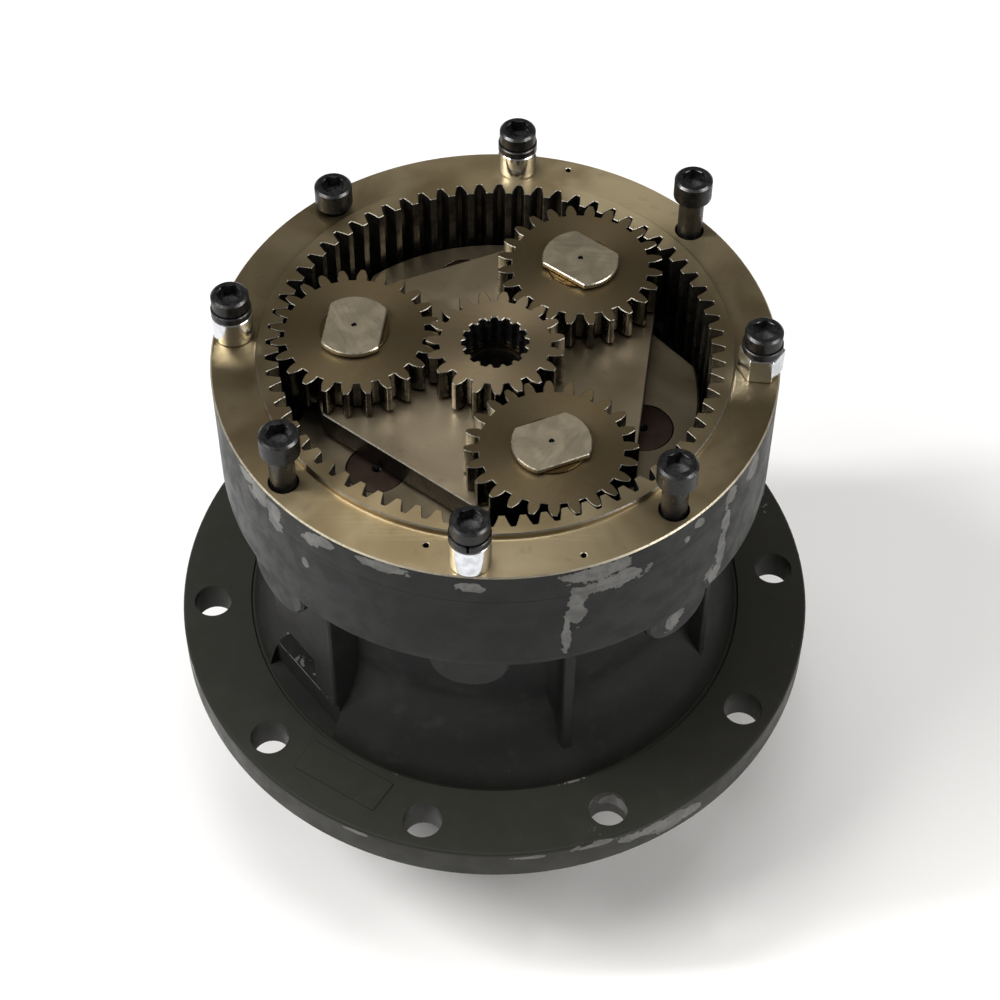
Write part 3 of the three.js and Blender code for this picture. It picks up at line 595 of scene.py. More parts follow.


# Where the paint of the drum has come off, plus one thin strip along the port ledge's lip that is painted
# highlight as well as wear:
# azimuth in degrees, height, half width along the drum and half height.
PAINT_WEAR_AND_LIP_HIGHLIGHT = [
    (-143.5, 344, 9, 9), (-138, 338, 6, 11), (-147, 347, 12, 5), (-128, 342, 6, 6), (-125, 346, 8, 4),
    (-130, 317, 2.2, 4), (-111, 347, 16, 3.5), (-95, 344, 11, 4), (-70, 345, 20, 7), (-66, 334, 17, 7),
    (-74, 322, 5, 18), (-76, 300, 2.6, 20), (-47, 344, 4, 5), (-49.7, 337.5, 2.4, 3), (-36.8, 343, 5, 9),
    (-37.8, 325, 4.5, 14), (-38.6, 303, 4, 16), (-40.5, 284, 8, 9), (-28, 341, 7, 8), (40, 338, 8, 9),
    # The strip at -144.5 degrees, 168.9 mm is a painted highlight along the ledge's lip.
    (110, 345, 14, 5), (150, 330, 5, 16), (-8, 344, 7, 5), (-144.5, 168.9, 32, 1.0), (-51, 268, 7, 8),
]
# The same on the flange's outer edge: azimuth, height, half widths.
FLANGE_WEAR = [
    (-62, 134, 26, 5), (-56, 130, 20, 6), (-72, 139, 16, 2.2), (-84, 138, 12, 1.8), (-114, 139, 9, 1.6),
    (20, 137, 16, 4), (150, 136, 20, 5), (-160, 138, 10, 2.5),
]


def wear_and_highlight_mask(look, azimuth, height, patches, radius, ragged):
    """1 inside the patches of wear, and of painted highlight where the list holds such a strip, with ragged
    edges, 0 elsewhere.
    """
    found = None
    along = look.math("MULTIPLY", azimuth, radius)
    for degrees, middle, half_width, half_height in patches:
        across = look.math("DIVIDE", look.math("SUBTRACT", along, math.radians(degrees) * radius), half_width)
        up = look.math("DIVIDE", look.math("SUBTRACT", height, middle), half_height)
        away = look.math("SQRT", look.math("ADD", look.math("MULTIPLY", across, across),
                                           look.math("MULTIPLY", up, up)))
        near = look.math("SUBTRACT", 1.35, away)
        found = near if found is None else look.math("MAXIMUM", found, near)
    edge = look.math("ADD", found, look.math("MULTIPLY", look.math("SUBTRACT", ragged, 0.5), 2.6))
    return look.between(edge, 0.42, 0.5)


def housing_paint(name, patches, radius, neck_green=0.0):
    """Dark grey enamel over a cast body, chipped to lighter primer and bare iron, and darker on the drum as
    painted shade.
    """
    look = Look(name)
    look.shader.inputs["Specular IOR Level"].default_value = 0.12
    distance, azimuth, height = look.round_place()
    ragged = look.noise(look.place(), 0.11, detail=6, roughness=0.62, distortion=0.5)
    # Patches of chipped paint; on the drum one thin strip along the port ledge's lip is painted highlight.
    wear_and_highlight = wear_and_highlight_mask(look, azimuth, height, patches, radius, ragged)
    specks = look.noise(look.place(), 0.32, detail=3, roughness=0.6)
    wear_and_highlight = look.math("MAXIMUM", wear_and_highlight, look.between(specks, 0.775, 0.79))
    broad = look.noise(look.place(), 0.012, detail=3, roughness=0.5, distortion=0.6)
    dust = look.noise(look.place(), 0.07, detail=5, roughness=0.6)
    paint = look.mix(look.between(broad, 0.35, 0.68), (0.0129, 0.0135, 0.0135), (0.0197, 0.0197, 0.019))
    paint = look.mix(look.between(dust, 0.52, 0.75, 0.0, 0.3), paint, (0.046, 0.046, 0.042))
    # Painted shade: the paint grows darker up the drum from 255 mm to 280 mm and stays darker above.
    paint = look.mix(look.between(height, 255, 280, 0.0, 0.55), paint, (0.0054, 0.0058, 0.0061))
    lower = look.between(height, 150, 175, neck_green, 0.0)
    paint = look.mix(lower, paint, (0.026, 0.026, 0.0212))
    metal = look.mix(look.between(ragged, 0.4, 0.65), (0.17, 0.17, 0.163), (0.109, 0.109, 0.103))
    look.set(colour=look.mix(wear_and_highlight, paint, metal))
    look.set(roughness=look.between(dust, 0.35, 0.7, 0.36, 0.52))
    skin = look.noise(look.place(), 0.55, detail=3, roughness=0.5)
    lumps = look.noise(look.place(), 0.06, detail=2)
    relief = look.math("ADD", look.math("MULTIPLY", skin, 0.22), look.math("MULTIPLY", lumps, 0.5))
    relief = look.math("SUBTRACT", relief, look.math("MULTIPLY", wear_and_highlight, 0.35))
    return look.bump(relief, 0.28).material


MACHINED = turned_steel("machined_ring", (0.282, 0.218, 0.12), (0.389, 0.32, 0.197))
CARRIER = turned_steel("machined_carrier", (0.347, 0.282, 0.186), (0.443, 0.365, 0.252), 0.3, 0.35, 1.4)
# A darker copy of the carrier steel for the second carrier, which lies in the shade under the first: painted
# shade.
CARRIER2 = turned_steel("second_machined_carrier", (0.203, 0.167, 0.11), (0.275, 0.227, 0.156),
                        0.28, 0.3, 1.4)
# Near-black steel as painted shade on the carrier sides, the carriers' holes and the second sun gear deep
# below.
PAINTED_SHADE_STEEL = flank_steel("painted_shade_steel", (0.026, 0.023, 0.019), 0.5)
# Flank steel darkened as painted shade for the deep tooth spaces and bores.
RING_FLANK = flank_steel("ring_flank", (0.18, 0.173, 0.156), 0.34)
PLANET_FACE = gear_steel("planet_face", (0.12, 0.09, 0.048), (0.175, 0.136, 0.077))
SUN_FACE = gear_steel("sun_face", (0.227, 0.173, 0.102), (0.323, 0.257, 0.162))
# Darkened as painted shade for the deep tooth spaces.
GEAR_FLANK = flank_steel("gear_flank", (0.102, 0.099, 0.089), 0.24)
# The edge steels are lighter copies of the faces' steel: painted highlight along the chamfers.
GEAR_EDGE = bright_edge("gear_edge", (0.25, 0.235, 0.20), 0.28)
RIM_EDGE = bright_edge("rim_edge", (0.658, 0.598, 0.466), 0.3)
PIN_FACE = ground_steel("pin_face", (0.443, 0.383, 0.275), 0.9, 0.42)
PIN_EDGE = bright_edge("pin_edge", (0.575, 0.539, 0.455))
# A dark copy of the pin steel for the second-stage pins under the first carrier: painted shade.
DARK_PIN = ground_steel("dark_pin", (0.05, 0.034, 0.026), 0.7, 0.45)
SHAFT_STEEL = turned_steel("shaft_steel", (0.26, 0.235, 0.195), (0.35, 0.325, 0.28), 0.42, 0.4)
BLACK = black_oxide("black_oxide")
BLACK_EDGE = bright_edge("black_edge", (0.09, 0.09, 0.092), 0.24)
# Glossier black oxide of the screw and plug sockets; on steel bores and drilled holes it is painted shade.
SOCKET_BLACK_AND_SHADE = black_oxide("socket_black_and_shade", (0.0054, 0.0054, 0.0058), 0.2, 0.45)
CHROME = plated("bright_plating")
BRONZE = bronze("bronze")
BEARING = ground_steel("bearing_steel", (0.816, 0.816, 0.816), 1.2, 0.2)
RUBBER = rubber("black_rubber")
PAINT = housing_paint("housing_paint", PAINT_WEAR_AND_LIP_HIGHLIGHT, DRUM_RADIUS, 0.1)
FLANGE_PAINT = housing_paint("flange_paint", FLANGE_WEAR, FLANGE_RADIUS, 0.8)
BARE_EDGE = bright_edge("bare_machined_edge", (0.502, 0.455, 0.359), 0.3)


# ---------------------------------------------------------------- lower housing

BOSS_RADIUS = 21
RIB_CLEARANCE = math.radians(30)      # no ribs this near the port block
PORT_ANGLE = math.radians(-142)
PORT_FACE, PORT_HALF_WIDTH = 136.4, 28.5
POCKET_DEPTH, POCKET_TOP, POCKET_WIDTH, POCKET_OFFSET = 8, 194, 44, -12
LIP = 2.5             # how far the ledge stands over the relief below it
LIP_THICKNESS = 1.6
PLUG_RADIUS, PLUG_OFFSET, PLUG_HEIGHT = 8, -10, LEDGE + 12.5
PLATE_PAD = {"radius": 160, "angle": math.radians(-122.4), "depth": 21, "length": 55, "height": 1.2}
HOUSING_LOOKS = [PAINT, FLANGE_PAINT, BARE_EDGE]


def rectangle(x0, x1, y0, y1, blend):
    return rounded([(x0, y0, blend), (x1, y0, blend), (x1, y1, blend), (x0, y1, blend)])


def housing_shell():
    foot = curve((STEP_RADIUS - 0.2, FLANGE_TOP + 2), (139, 164), (124, 172), (NECK_RADIUS, 202), 18)
    profile = [
        (90.4, NOSE_BOTTOM), (NOSE_RADIUS, NOSE_BOTTOM, 2), (NOSE_RADIUS, FLANGE_BOTTOM - 2),
        (NOSE_RADIUS - 1, FLANGE_BOTTOM - 2), (NOSE_RADIUS - 1, FLANGE_BOTTOM),
        (FLANGE_RADIUS, FLANGE_BOTTOM, 1.5), (FLANGE_RADIUS, FLANGE_TOP, 2.4),
        (STEP_RADIUS + 2.2, FLANGE_TOP, 0.4), (STEP_RADIUS + 1.8, FLANGE_TOP - 1.2),
        (STEP_RADIUS + 0.3, FLANGE_TOP - 1.2), (STEP_RADIUS, FLANGE_TOP + 0.4, 0.4), *foot,
        (NECK_RADIUS, BAND_UNDERSIDE, 6), (DRUM_RADIUS - 4.5, BAND_UNDERSIDE, 1.5),
        (DRUM_RADIUS - 0.4, BAND_BOTTOM, 1.5), (DRUM_RADIUS, BAND_BOTTOM + 4),
        (DRUM_RADIUS, SEAM - 0.1, 0.25),
        (SLEEVE_RADIUS + 4.3, SEAM - 0.1), (SLEEVE_RADIUS + 0.3, SEAM - 4.3),
        (SLEEVE_RADIUS + 0.3, SLEEVE_BOTTOM - 0.3), (112, SLEEVE_BOTTOM - 0.3, 2), (112, 260, 4), (80.4, 252),
        (80.4, 209.8), (71, 209.8), (82, 142.2), (90.4, 142.2),
    ]
    return lathe("lower_housing_casting", profile, HOUSING_LOOKS,
                 bands=lambda radius, height: 1 if height < FLANGE_TOP + 3 and radius > STEP_RADIUS else 0)


def screw_boss(angle):
    """Half-round boss that runs out under the band to the drum's face."""
    length = 36
    boss = plate("boss", circle(BOSS_RADIUS, MEDIUM), 0, length, HOUSING_LOOKS[:1], chamfer=1.4,
                 ends=(False, True))
    boss.matrix_world = (Matrix.Rotation(angle, 4, "Z")
                         @ Matrix.Translation(Vector((DRUM_RADIUS - 1.3 - length, 0, BAND_BOTTOM)) * MM)
                         @ Matrix.Rotation(math.pi / 2, 4, "Y"))
    return boss


def neck_rib(angle):
    outline = rounded([(115, -9), (NECK_RADIUS - 0.3, -8), (126, -3.6, 5), (135.3, -3.5, 1.6),
                       (135.3, 3.5, 1.6), (126, 3.6, 5), (NECK_RADIUS - 0.3, 8), (115, 9)], steps=4)
    rib = plate("rib", outline, FLANGE_TOP + 3, BAND_UNDERSIDE + 2, HOUSING_LOOKS[:1])
    rib.rotation_euler = (0, 0, angle)
    return rib


def port_axis(distance):
    """Frame whose Z runs outwards along the drain port."""
    return (Matrix.Rotation(PORT_ANGLE, 4, "Z")
            @ Matrix.Translation(Vector((distance, PLUG_OFFSET, PLUG_HEIGHT)) * MM)
            @ Matrix.Rotation(math.pi / 2, 4, "Y"))


def mount_hole():
    """Cutter for one flange hole, with a small chamfer at each end."""
    radius = MOUNT_HOLE_RADIUS
    below, above = FLANGE_BOTTOM - 2, FLANGE_TOP + 2
    profile = [
        (0, below), (radius + 2.8, below), (radius, FLANGE_BOTTOM + 0.8),
        (radius, FLANGE_TOP - 0.2), (radius + 2.2, above), (0, above),
    ]
    return lathe("hole", profile, HOUSING_LOOKS[1:2], SMALL)


def lower_housing():
    body = housing_shell()
    bosses = merged([screw_boss(a) for a in SCREW_ANGLES])
    middles = [a + math.pi / len(SCREW_ANGLES) for a in SCREW_ANGLES]
    ribs = merged([neck_rib(a) for a in middles if math.cos(a - PORT_ANGLE) < math.cos(RIB_CLEARANCE)])
    block = plate("port_block", rectangle(114.5, PORT_FACE, -PORT_HALF_WIDTH, PORT_HALF_WIDTH, 3),
                  FLANGE_TOP + 1, BAND_UNDERSIDE + 2, HOUSING_LOOKS[:1])
    block.rotation_euler = (0, 0, PORT_ANGLE)
    pad = PLATE_PAD
    plate_pad = plate("plate_pad",
                      rectangle(pad["radius"] - pad["depth"] / 2, pad["radius"] + pad["depth"] / 2,
                                -pad["length"] / 2, pad["length"] / 2, 1.5),
                      FLANGE_TOP - 1, FLANGE_TOP + pad["height"], HOUSING_LOOKS[1:2], chamfer=0.6,
                      ends=(False, True))
    plate_pad.rotation_euler = (0, 0, pad["angle"])
    body = boolean(body, "UNION", bosses, ribs, block, plate_pad)
    floor = PORT_FACE - POCKET_DEPTH
    pocket_left = POCKET_OFFSET - POCKET_WIDTH / 2
    pocket = plate("pocket", rectangle(floor, PORT_FACE + 9, pocket_left, pocket_left + POCKET_WIDTH, 2.5),
                   LEDGE, POCKET_TOP, HOUSING_LOOKS[:1])
    pocket.rotation_euler = (0, 0, PORT_ANGLE)
    relief = plate("relief",
                   rectangle(PORT_FACE - LIP, STEP_RADIUS + 4, pocket_left, PORT_HALF_WIDTH + 1, 1),
                   FLANGE_TOP + 1, LEDGE - LIP_THICKNESS, HOUSING_LOOKS[:1])
    relief.rotation_euler = (0, 0, PORT_ANGLE)
    hole_radius, mouth_radius = PLUG_RADIUS + 0.2, PLUG_RADIUS + 1.4
    bore = lathe("bore", [(0, -14), (hole_radius, -14), (hole_radius, -1.2), (mouth_radius, 0),
                          (mouth_radius, 2), (0, 2)], HOUSING_LOOKS[2:], SMALL)
    bore.matrix_world = port_axis(floor)
    cutters = []
    for angle in MOUNT_ANGLES:
        cutters.append(put(mount_hole(), MOUNT_CIRCLE, angle))
    body = boolean(body, "DIFFERENCE", pocket, relief, bore, merged(cutters))
    body.modifiers.new("weighted", "WEIGHTED_NORMAL").keep_sharp = True
    return stand_in(body, "lower_housing")


# ---------------------------------------------------------------- ring gear

def planet_space(azimuth, sun_phase, sun_teeth, planet_teeth):
    return azimuth + math.pi - (sun_teeth / planet_teeth) * (sun_phase - azimuth)


PLANET1_SPACES = [planet_space(a, SUN1_PHASE, SUN1_TEETH, PLANET1_TEETH) for a in ORBIT1_ANGLES]
RING_PHASE = ORBIT1_ANGLES[0] + PLANET1_TEETH / RING_TEETH * (PLANET1_SPACES[0] - math.pi - ORBIT1_ANGLES[0])
PLANET2_SPACES = [a + RING_TEETH / PLANET2_TEETH * (RING_PHASE - a) for a in ORBIT2_ANGLES]
SUN2_PHASE = ORBIT2_ANGLES[0] - PLANET2_TEETH / SUN2_TEETH * (PLANET2_SPACES[0] + math.pi - ORBIT2_ANGLES[0])


def ring_gear():
    spaces = gear_outline(RING_TEETH, SHIFT["ring"], RING_ROOT_RADIUS, RING_TIP_RADIUS,
                          RING_PHASE + math.pi / RING_TEETH, space=True)
    toothed = plate("ring_gear_body", circle(SPIGOT_RADIUS, FINE), SLEEVE_BOTTOM, SPIGOT_TOP,
                    [MACHINED, MACHINED, GEAR_EDGE, RING_FLANK], holes=[spaces], chamfer=0.7,
                    hole_chamfer=0.3)
    screw_holes = [circle(SCREW_HOLE_RADIUS, SMALL, polar(SCREW_CIRCLE, a)) for a in SCREW_ANGLES]
    dowels = [circle(1.6, 16, polar(radius, math.radians(a))) for radius, a in DOWELS]
    # The collar's screw and dowel holes get the socket black as painted shade.
    collar = plate("collar", circle(DRUM_RADIUS, FINE), SEAM, RIM, [MACHINED, PAINT, RIM_EDGE, SOCKET_BLACK_AND_SHADE],
                   holes=[circle(SPIGOT_RADIUS - 1.5, FINE), *screw_holes, *dowels], chamfer=0.8,
                   hole_chamfer=0.3, ends=(False, True))
    foot = RIM + 0.9
    inside, fillet = SPIGOT_RADIUS - 2, SPIGOT_RADIUS + 1.6
    sleeve = lathe("sleeve", [(inside, SLEEVE_BOTTOM), (SLEEVE_RADIUS, SLEEVE_BOTTOM, 1),
                              (SLEEVE_RADIUS, RIM - 2), (fillet, RIM - 2), (fillet, RIM),
                              (SPIGOT_RADIUS + 0.45, RIM + 0.3), (SPIGOT_RADIUS, foot), (inside, foot)],
                   [MACHINED])
    body = boolean(toothed, "UNION", collar, sleeve)
    body.modifiers.new("weighted", "WEIGHTED_NORMAL").keep_sharp = True
    return stand_in(body, "ring_gear")


# ---------------------------------------------------------------- cover screws

SCREW_STACKS = [
    (29.4, "spacer_1", 1), (17.2, None, 0), (30.0, "spacer_2", 2), (37.9, None, 0),
    (32.4, "spacer_3", 3), (36.8, None, 0), (29.8, "hex_spacer", 4), (39.6, None, 0),
]
SHIM = 0.1
HEX_FLAT = 6


def cap_screw(name, radius, height):
    """Socket head with a fine knurl, its neck fillet and a plain shank."""
    knurls = 48
    outline = []
    for k in range(knurls):
        outline.append(polar(radius, TAU * k / knurls))
        outline.append(polar(radius - 0.16, TAU * (k + 0.5) / knurls))
    head = plate(name, outline, 0, height, [BLACK, BLACK, BLACK_EDGE], chamfer=1.15, sharp=40)
    shank = lathe("shank", [(0, -65), (5.6, -65), (6.85, -63.6), (6.85, -1.6), (7.6, -0.4), (8.4, 0.6),
                            (0, 0.6)], [BLACK], SMALL)
    hexagon = circle(HEX_FLAT / math.cos(math.pi / 6), 6, first=math.pi / 6)
    socket = plate("socket", hexagon, height - 6.8, height + 1, [SOCKET_BLACK_AND_SHADE])
    # The socket's lead-in chamfer and drilled bottom get the lighter edge steel as a painted glint.
    lead = lathe("lead", [(0, height - 7.9), (5.6, height - 6.7), (5.6, height - 0.75), (7.3, height + 0.95),
                          (0, height + 0.95)], [BLACK_EDGE], SMALL)
    limit = plate("lead_limit", circle(9, SMALL), height - 0.9, height + 0.9, [BLACK_EDGE])
    cup = lathe("cup", [(0, height - 8.2), (5.4, height - 6.75), (5.4, height - 6), (0, height - 6)],
                [BLACK_EDGE], SMALL)
    body = boolean(head, "UNION", shank)
    return boolean(body, "DIFFERENCE", socket, boolean(lead, "INTERSECT", limit), cup)


def split_ring(name, height):
    outer, inner, gap = 10.9, 7.05, 0.055
    outline = [polar(outer, gap + (TAU - 2 * gap) * k / 64) for k in range(65)]
    outline += [polar(inner, TAU - gap * 1.5 - (TAU - 3 * gap) * k / 64) for k in range(65)]
    return plate(name, outline, 0, height, [BLACK, BLACK, BLACK_EDGE], chamfer=0.45)


def spacer(name, height, hexagonal):
    hole = circle(7.05, SMALL)
    if hexagonal:
        outline = rounded([point + (1.2,) for point in circle(12.2, 6)])
    else:
        outline = circle(10.9, MEDIUM)
    return plate(name, outline, 0, height, [CHROME], holes=[hole], chamfer=0.55, hole_chamfer=0.4)


def cover_screws():
    tall = cap_screw("cap_screw_tall", 10.5, 14)
    short = cap_screw("cap_screw_low", 10.2, 9)
    for i, (head_top, under, ring_number) in enumerate(SCREW_STACKS):
        node = f"cap_screw_{i + 1}"
        head_height = 9 if under else 14
        seat = RIM + head_top - head_height
        angle = SCREW_ANGLES[i]
        screw = copy_of(short if under else tall, f"{node}_detail")
        put(screw, SCREW_CIRCLE, angle, seat, angle + 0.35 * i)
        stand_in(screw, node)
        if not under:
            continue
        lock_height = 4.6
        lock_bottom = seat - SHIM - lock_height
        lock = split_ring(f"lock_ring_{ring_number}_detail", lock_height)
        stand_in(put(lock, SCREW_CIRCLE, angle, lock_bottom, angle), f"lock_ring_{ring_number}")
        height = lock_bottom - 2 * SHIM - RIM
        sleeve = spacer(f"{under}_detail", height, under == "hex_spacer")
        stand_in(put(sleeve, SCREW_CIRCLE, angle, RIM + SHIM, angle), under)
    bpy.data.objects.remove(tall)
    bpy.data.objects.remove(short)


def drain_plug():
    floor = PORT_FACE - POCKET_DEPTH
    plug = lathe("drain_plug_detail", [(0, -9), (7.9, -9, 0.5), (7.9, 2.5, 0.8), (0, 2.5)],
                 [BLACK, SOCKET_BLACK_AND_SHADE], SMALL)
    socket = plate("plug_socket", circle(4.6, 6), -4, 4, [BLACK, SOCKET_BLACK_AND_SHADE])
    plug = boolean(plug, "DIFFERENCE", socket)
    plug.matrix_world = port_axis(floor)
    return stand_in(plug, "drain_plug")


# ---------------------------------------------------------------- gears, pins and carriers

def gear(node, teeth, shift, addendum, phase, looks, hole, chamfer=0.35):
    outline = gear_outline(teeth, shift, tip_radius(teeth, shift, addendum), root_radius(teeth, shift), phase)
    return plate(f"{node}_detail", outline, low(node), high(node), looks, holes=[hole], chamfer=chamfer,
                 hole_chamfer=0.5)


def first_stage():
    # The sun's splined bore gets the socket black as painted shade.
    looks = [SUN_FACE, GEAR_FLANK, GEAR_EDGE, SOCKET_BLACK_AND_SHADE]
    sun = gear("first_sun_gear", SUN1_TEETH, SHIFT["sun1"], 0.85, SUN1_PHASE, looks,
               spline_outline(16, 16, 18.1, math.radians(92)))
    stand_in(sun, "first_sun_gear")
    flat_angle = ORBIT1_ANGLES[0] + math.pi / 3
    pin_holes = [circle(11.05, SMALL, polar(ORBIT1, a)) for a in ORBIT1_ANGLES]
    carrier = plate("first_carrier_detail", lobed_outline(97, 81.3, flat_angle, 2.5), low("first_carrier"),
                    high("first_carrier"), [CARRIER, PAINTED_SHADE_STEEL, GEAR_EDGE, PAINTED_SHADE_STEEL],
                    holes=[spline_outline(14, 27, 30), *pin_holes], chamfer=0.5, hole_chamfer=0.3)
    stand_in(carrier, "first_carrier")
    for i, angle in enumerate(ORBIT1_ANGLES):
        number = i + 1
        node = f"first_planet_gear_{number}"
        phase = PLANET1_SPACES[i] + math.pi / PLANET1_TEETH
        planet = gear(node, PLANET1_TEETH, SHIFT["planet1"], 0.95, phase,
                      [PLANET_FACE, GEAR_FLANK, GEAR_EDGE, RING_FLANK], circle(15.05, SMALL))
        stand_in(put(planet, ORBIT1, angle), node)
        pin_node = f"first_planet_pin_{number}"
        stand_in(put(planet_pin(pin_node), ORBIT1, angle, 0, angle), pin_node)
        washer_node = f"first_thrust_washer_{number}"
        washer = plate(f"{washer_node}_detail", circle(18.6, MEDIUM), low(washer_node), high(washer_node),
                       [BRONZE], holes=[circle(11.3, SMALL)], chamfer=0.2)
        stand_in(put(washer, ORBIT1, angle), washer_node)


def planet_pin(node):
    """Pin with a flat head that has two flats square to the radius through it."""
    top = high(node)
    bottom = low("first_planet_gear_1") + 19.8
    radius, half = 21, 15.5
    reach = math.acos(half / radius)
    corners = []
    for side in (0, math.pi):
        for k in range(17):
            point = polar(radius, side + reach + (math.pi - 2 * reach) * k / 16)
            corners.append(point + (1.2,) if k in (0, 16) else point)
    head = plate(f"{node}_detail", rounded(corners), bottom, top, [PIN_FACE, PIN_FACE, PIN_EDGE, SOCKET_BLACK_AND_SHADE],
                 chamfer=0.55)
    shank = lathe("pin_shank", [(0, low(node)), (11, low(node), 0.8), (11, bottom + 0.5), (0, bottom + 0.5)],
                  [PIN_FACE], SMALL)
    # The pin's centre drill gets the socket black as painted shade.
    drill = lathe("pin_drill", [(0, top - 3), (1.3, top - 2.2), (1.3, top - 0.3), (1.9, top + 0.4),
                                (0, top + 0.4)], [SOCKET_BLACK_AND_SHADE], 20)
    return boolean(boolean(head, "UNION", shank), "DIFFERENCE", drill)


PIN2_RADIUS, PIN2_HOLE_RADIUS = 16, 16.35
OUTPUT_SPLINE_TEETH = 16


def second_planet_pin(node):
    """Plain pin with a centre drill in its top."""
    top = high(node)

    def look_at(radius, height):
        # The centre drill gets the socket black as painted shade.
        in_drill = radius < 2.2 and top - 7 < height < top - 0.2
        return 1 if in_drill else 0

    profile = [
        (0, low(node)), (PIN2_RADIUS, low(node), 0.8), (PIN2_RADIUS, top, 0.7),
        (2.6, top), (1.7, top - 0.9), (1.7, top - 5), (0, top - 6),
    ]
    return lathe(f"{node}_detail", profile, [DARK_PIN, SOCKET_BLACK_AND_SHADE], MEDIUM, bands=look_at)


def second_stage():
    # The second sun gear's faces get the near-black painted shade steel.
    looks = [PAINTED_SHADE_STEEL, GEAR_FLANK, GEAR_EDGE, RING_FLANK]
    node = "second_sun_gear"
    outline = gear_outline(SUN2_TEETH, SHIFT["sun2"], tip_radius(SUN2_TEETH, SHIFT["sun2"], 0.95),
                           root_radius(SUN2_TEETH, SHIFT["sun2"]), SUN2_PHASE)
    bore = circle(15, SMALL)
    teeth_top, carrier_bottom = high("second_planet_gear_1"), low("first_carrier")
    sun = plate(f"{node}_detail", outline, low(node), teeth_top, looks, holes=[bore], chamfer=0.4)
    neck = plate("sun_neck", circle(34, MEDIUM), teeth_top - 1, carrier_bottom - 0.4, looks, holes=[bore])
    spline = plate("sun_spline", spline_outline(14, 26.7, 29.7, 0, 0.46), carrier_bottom - 1, high(node),
                   looks, holes=[bore], chamfer=0.3)
    stand_in(boolean(sun, "UNION", neck, spline), node)
    for i, angle in enumerate(ORBIT2_ANGLES):
        number = i + 1
        gear_node = f"second_planet_gear_{number}"
        phase = PLANET2_SPACES[i] + math.pi / PLANET2_TEETH
        planet = gear(gear_node, PLANET2_TEETH, SHIFT["planet2"], 0.95, phase,
                      [PLANET_FACE, GEAR_FLANK, GEAR_EDGE, RING_FLANK], circle(20.6, SMALL))
        stand_in(put(planet, ORBIT2, angle), gear_node)
        pin_node = f"second_planet_pin_{number}"
        stand_in(put(second_planet_pin(pin_node), ORBIT2, angle), pin_node)
    second_carrier()


def second_carrier():
    looks = [CARRIER2, PAINTED_SHADE_STEEL, CARRIER2, PAINTED_SHADE_STEEL]
    flat_angle = ORBIT2_ANGLES[0] + math.pi / 3
    pin_holes = [circle(PIN2_HOLE_RADIUS, MEDIUM, polar(ORBIT2, a)) for a in ORBIT2_ANGLES]
    plate_bottom, plate_top = 307.8, high("second_carrier")
    lower_bottom, lower_top = 264, 279
    corner_radius, flat_distance, centre_hole = 111, 93.7, 56
    lower_radius, hub_radius = 107, 62
    splined_bore = spline_outline(OUTPUT_SPLINE_TEETH, 36, 40)
    upper = plate("second_carrier_detail", lobed_outline(corner_radius, flat_distance, flat_angle, 3),
                  plate_bottom, plate_top, looks, holes=[circle(centre_hole, MEDIUM), *pin_holes],
                  chamfer=1.2, hole_chamfer=0.2)
    lower = plate("lower_plate", circle(lower_radius, FINE), lower_bottom, lower_top, looks,
                  holes=[splined_bore, *pin_holes], chamfer=1)
    hub = plate("hub", circle(hub_radius, MEDIUM), low("second_carrier"), lower_bottom + 1, looks,
                holes=[splined_bore], chamfer=1, ends=(True, False))
    bridges = []
    for angle in ORBIT2_ANGLES:
        bridge = plate("bridge", rectangle(59, 93, -22, 22, 3), lower_top - 1, plate_bottom + 1, looks)
        bridge.rotation_euler = (0, 0, angle + math.pi / 3)
        bridges.append(bridge)
    body = boolean(upper, "UNION", lower, hub, merged(bridges))
    return stand_in(body, "second_carrier")


# ---------------------------------------------------------------- output shaft

def output_shaft():
    looks = [SHAFT_STEEL, GEAR_FLANK, GEAR_EDGE, RING_FLANK]
    module = 8
    tip = module * (PINION_TEETH / 2 + 1 + SHIFT["pinion"]) - 1
    root = module * (PINION_TEETH / 2 - 1.25 + SHIFT["pinion"])
    outline = gear_outline(PINION_TEETH, SHIFT["pinion"], tip, root, module=module, steps=8)
    pinion = plate("output_pinion_shaft_detail", outline, 0, 72, looks, chamfer=1.6)
    core, collar, lower_seat, upper_seat, spline_core = 38, 62, 49.7, 44.7, 35
    collar_bottom, collar_top, seat_step, spline_bottom, shaft_top = 71, 99, 146, 250, 279.4
    shaft = lathe("shaft", [
        (0, 40), (core, 40), (core, collar_bottom), (collar, collar_bottom, 1), (collar, collar_top),
        (lower_seat, collar_top), (lower_seat, seat_step), (upper_seat, seat_step + 4),
        (upper_seat, spline_bottom), (spline_core, spline_bottom), (spline_core, shaft_top, 1),
        (0, shaft_top),
    ], looks, MEDIUM)
    spline = plate("shaft_spline", spline_outline(OUTPUT_SPLINE_TEETH, 35.7, 39.7, 0, 0.46),
                   spline_bottom - 1, shaft_top, looks, chamfer=0.6)
    drill = lathe("drill", [(0, -1), (7, -1), (6, 0), (2.5, 5), (2.5, 12), (0, 13)], looks, SMALL)
    groove = plate("groove", circle(60, SMALL), 274.2, 277.4, looks, holes=[circle(36, MEDIUM)])
    body = boolean(boolean(pinion, "UNION", shaft, spline), "DIFFERENCE", drill, groove)
    return stand_in(body, "output_pinion_shaft")


def dress_hidden_nodes():
    """Give every CAD node that still shows its material."""
    looks = {"bronze": BRONZE, "bearing_steel": BEARING, "rubber": RUBBER, "black_oxide": BLACK}
    for name, node in frame["nodes"].items():
        if node.hide_render:
            continue
        node.data.materials.clear()
        node.data.materials.append(looks[NODE_SLOT[name]])


# ---------------------------------------------------------------- camera, floor and light

FOCAL_RATIO = 2.39836       # focal length over sensor width


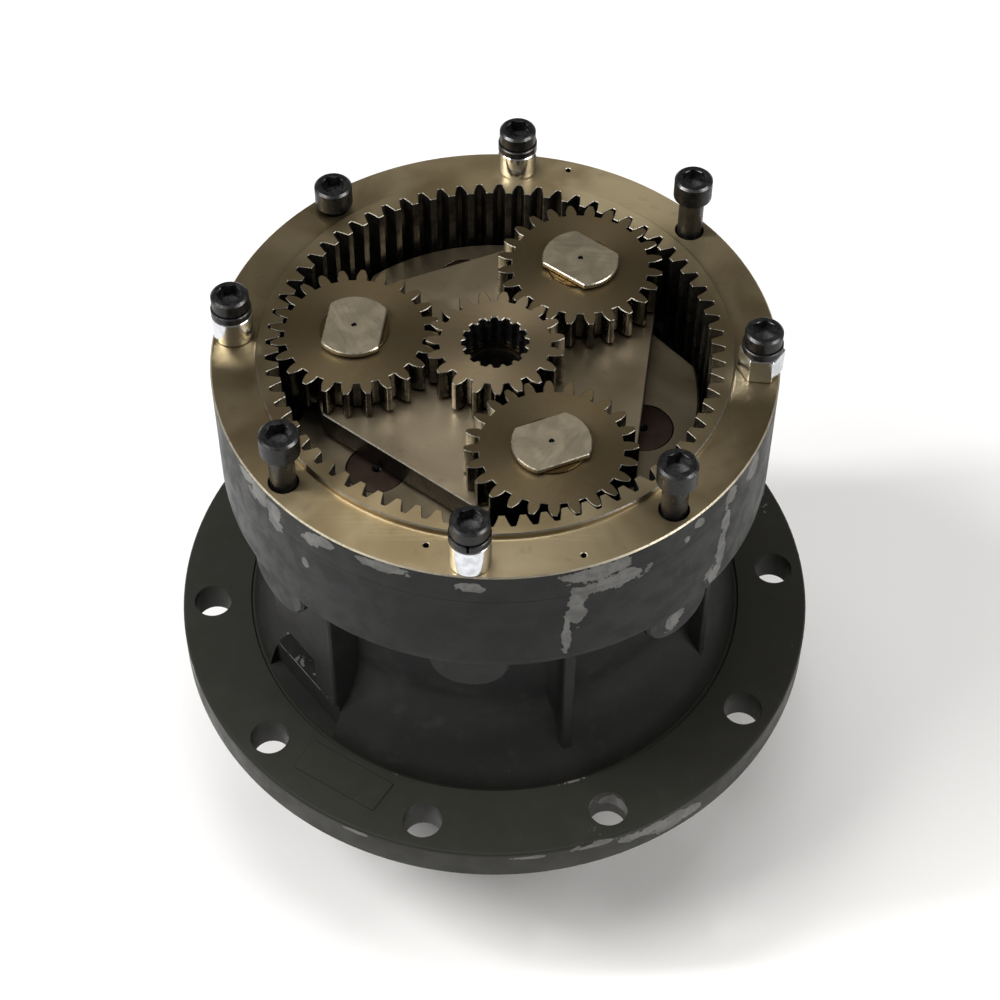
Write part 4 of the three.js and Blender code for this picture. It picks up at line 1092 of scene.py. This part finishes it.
def camera():
    """View from above and in front, with the distance counted in drum radii from the rim."""
    distance, elevation, tilt, pan, roll = 8.4427, 0.8358, 0.0624, -0.0021, 0.0027
    spot = Vector((0, -distance * math.cos(elevation), distance * math.sin(elevation))) * DRUM_RADIUS
    data = bpy.data.cameras.new("camera")
    data.sensor_width = 36
    data.lens = FOCAL_RATIO * data.sensor_width
    data.clip_end = 50
    view = bpy.data.objects.new("camera", data)
    bpy.context.scene.collection.objects.link(view)
    right = Vector((1, 0, 0))
    forward = Vector((0, math.cos(elevation), -math.sin(elevation)))
    down = -right.cross(forward)
    facing = Matrix((right, down, forward))
    turn = Matrix.Rotation(roll, 3, "Z") @ Matrix.Rotation(tilt, 3, "X") @ Matrix.Rotation(pan, 3, "Y")
    turn = turn @ facing
    axes = Matrix((turn[0], -turn[1], -turn[2])).transposed().to_4x4()
    view.matrix_world = Matrix.Translation((spot + Vector((0, 0, RIM))) * MM) @ axes
    bpy.context.scene.camera = view


def area_light(name, place, target, size, power, colour=(1, 1, 1)):
    data = bpy.data.lights.new(name, "AREA")
    data.shape = "RECTANGLE"
    data.size, data.size_y = size
    data.energy = power
    data.color = colour
    lamp = bpy.data.objects.new(name, data)
    bpy.context.scene.collection.objects.link(lamp)
    lamp.location = place
    lamp.rotation_euler = (Vector(place) - Vector(target)).to_track_quat("Z", "Y").to_euler()


def studio():
    floor_mesh = bpy.data.meshes.new("floor")
    reach = 6
    corners = [(-reach, -reach, 0), (reach, -reach, 0), (reach, reach, 0), (-reach, reach, 0)]
    floor_mesh.from_pydata(corners, [], [(0, 1, 2, 3)])
    floor = bpy.data.objects.new("floor", floor_mesh)
    bpy.context.scene.collection.objects.link(floor)
    pale = Look("pale_floor", roughness=0.9)
    pale.set(colour=(0.96, 0.96, 0.96))
    floor_mesh.materials.append(pale.material)
    world = bpy.data.worlds.new("studio")
    world.use_nodes = True
    background = world.node_tree.nodes["Background"]
    background.inputs["Color"].default_value = (1.0, 0.96, 0.9, 1)
    background.inputs["Strength"].default_value = 0.17
    bpy.context.scene.world = world
    centre = (0, 0, 0.3)
    area_light("key", (-1.5, -0.7, 2.4), centre, (0.9, 0.9), 30, (1.0, 0.98, 0.95))
    area_light("fill", (1.9, -0.6, 1.9), centre, (1.4, 1.0), 27, (1.0, 0.98, 0.96))
    area_light("top", (-0.12, 0.1, 3.2), centre, (1.0, 2.0), 34)
    area_light("bar", (-1.7, -0.2, 2.2), centre, (0.2, 1.2), 34)
    bpy.context.scene.view_settings.view_transform = "Standard"


camera()
studio()
lower_housing()
ring_gear()
cover_screws()
drain_plug()
first_stage()
second_stage()
output_shaft()
dress_hidden_nodes()
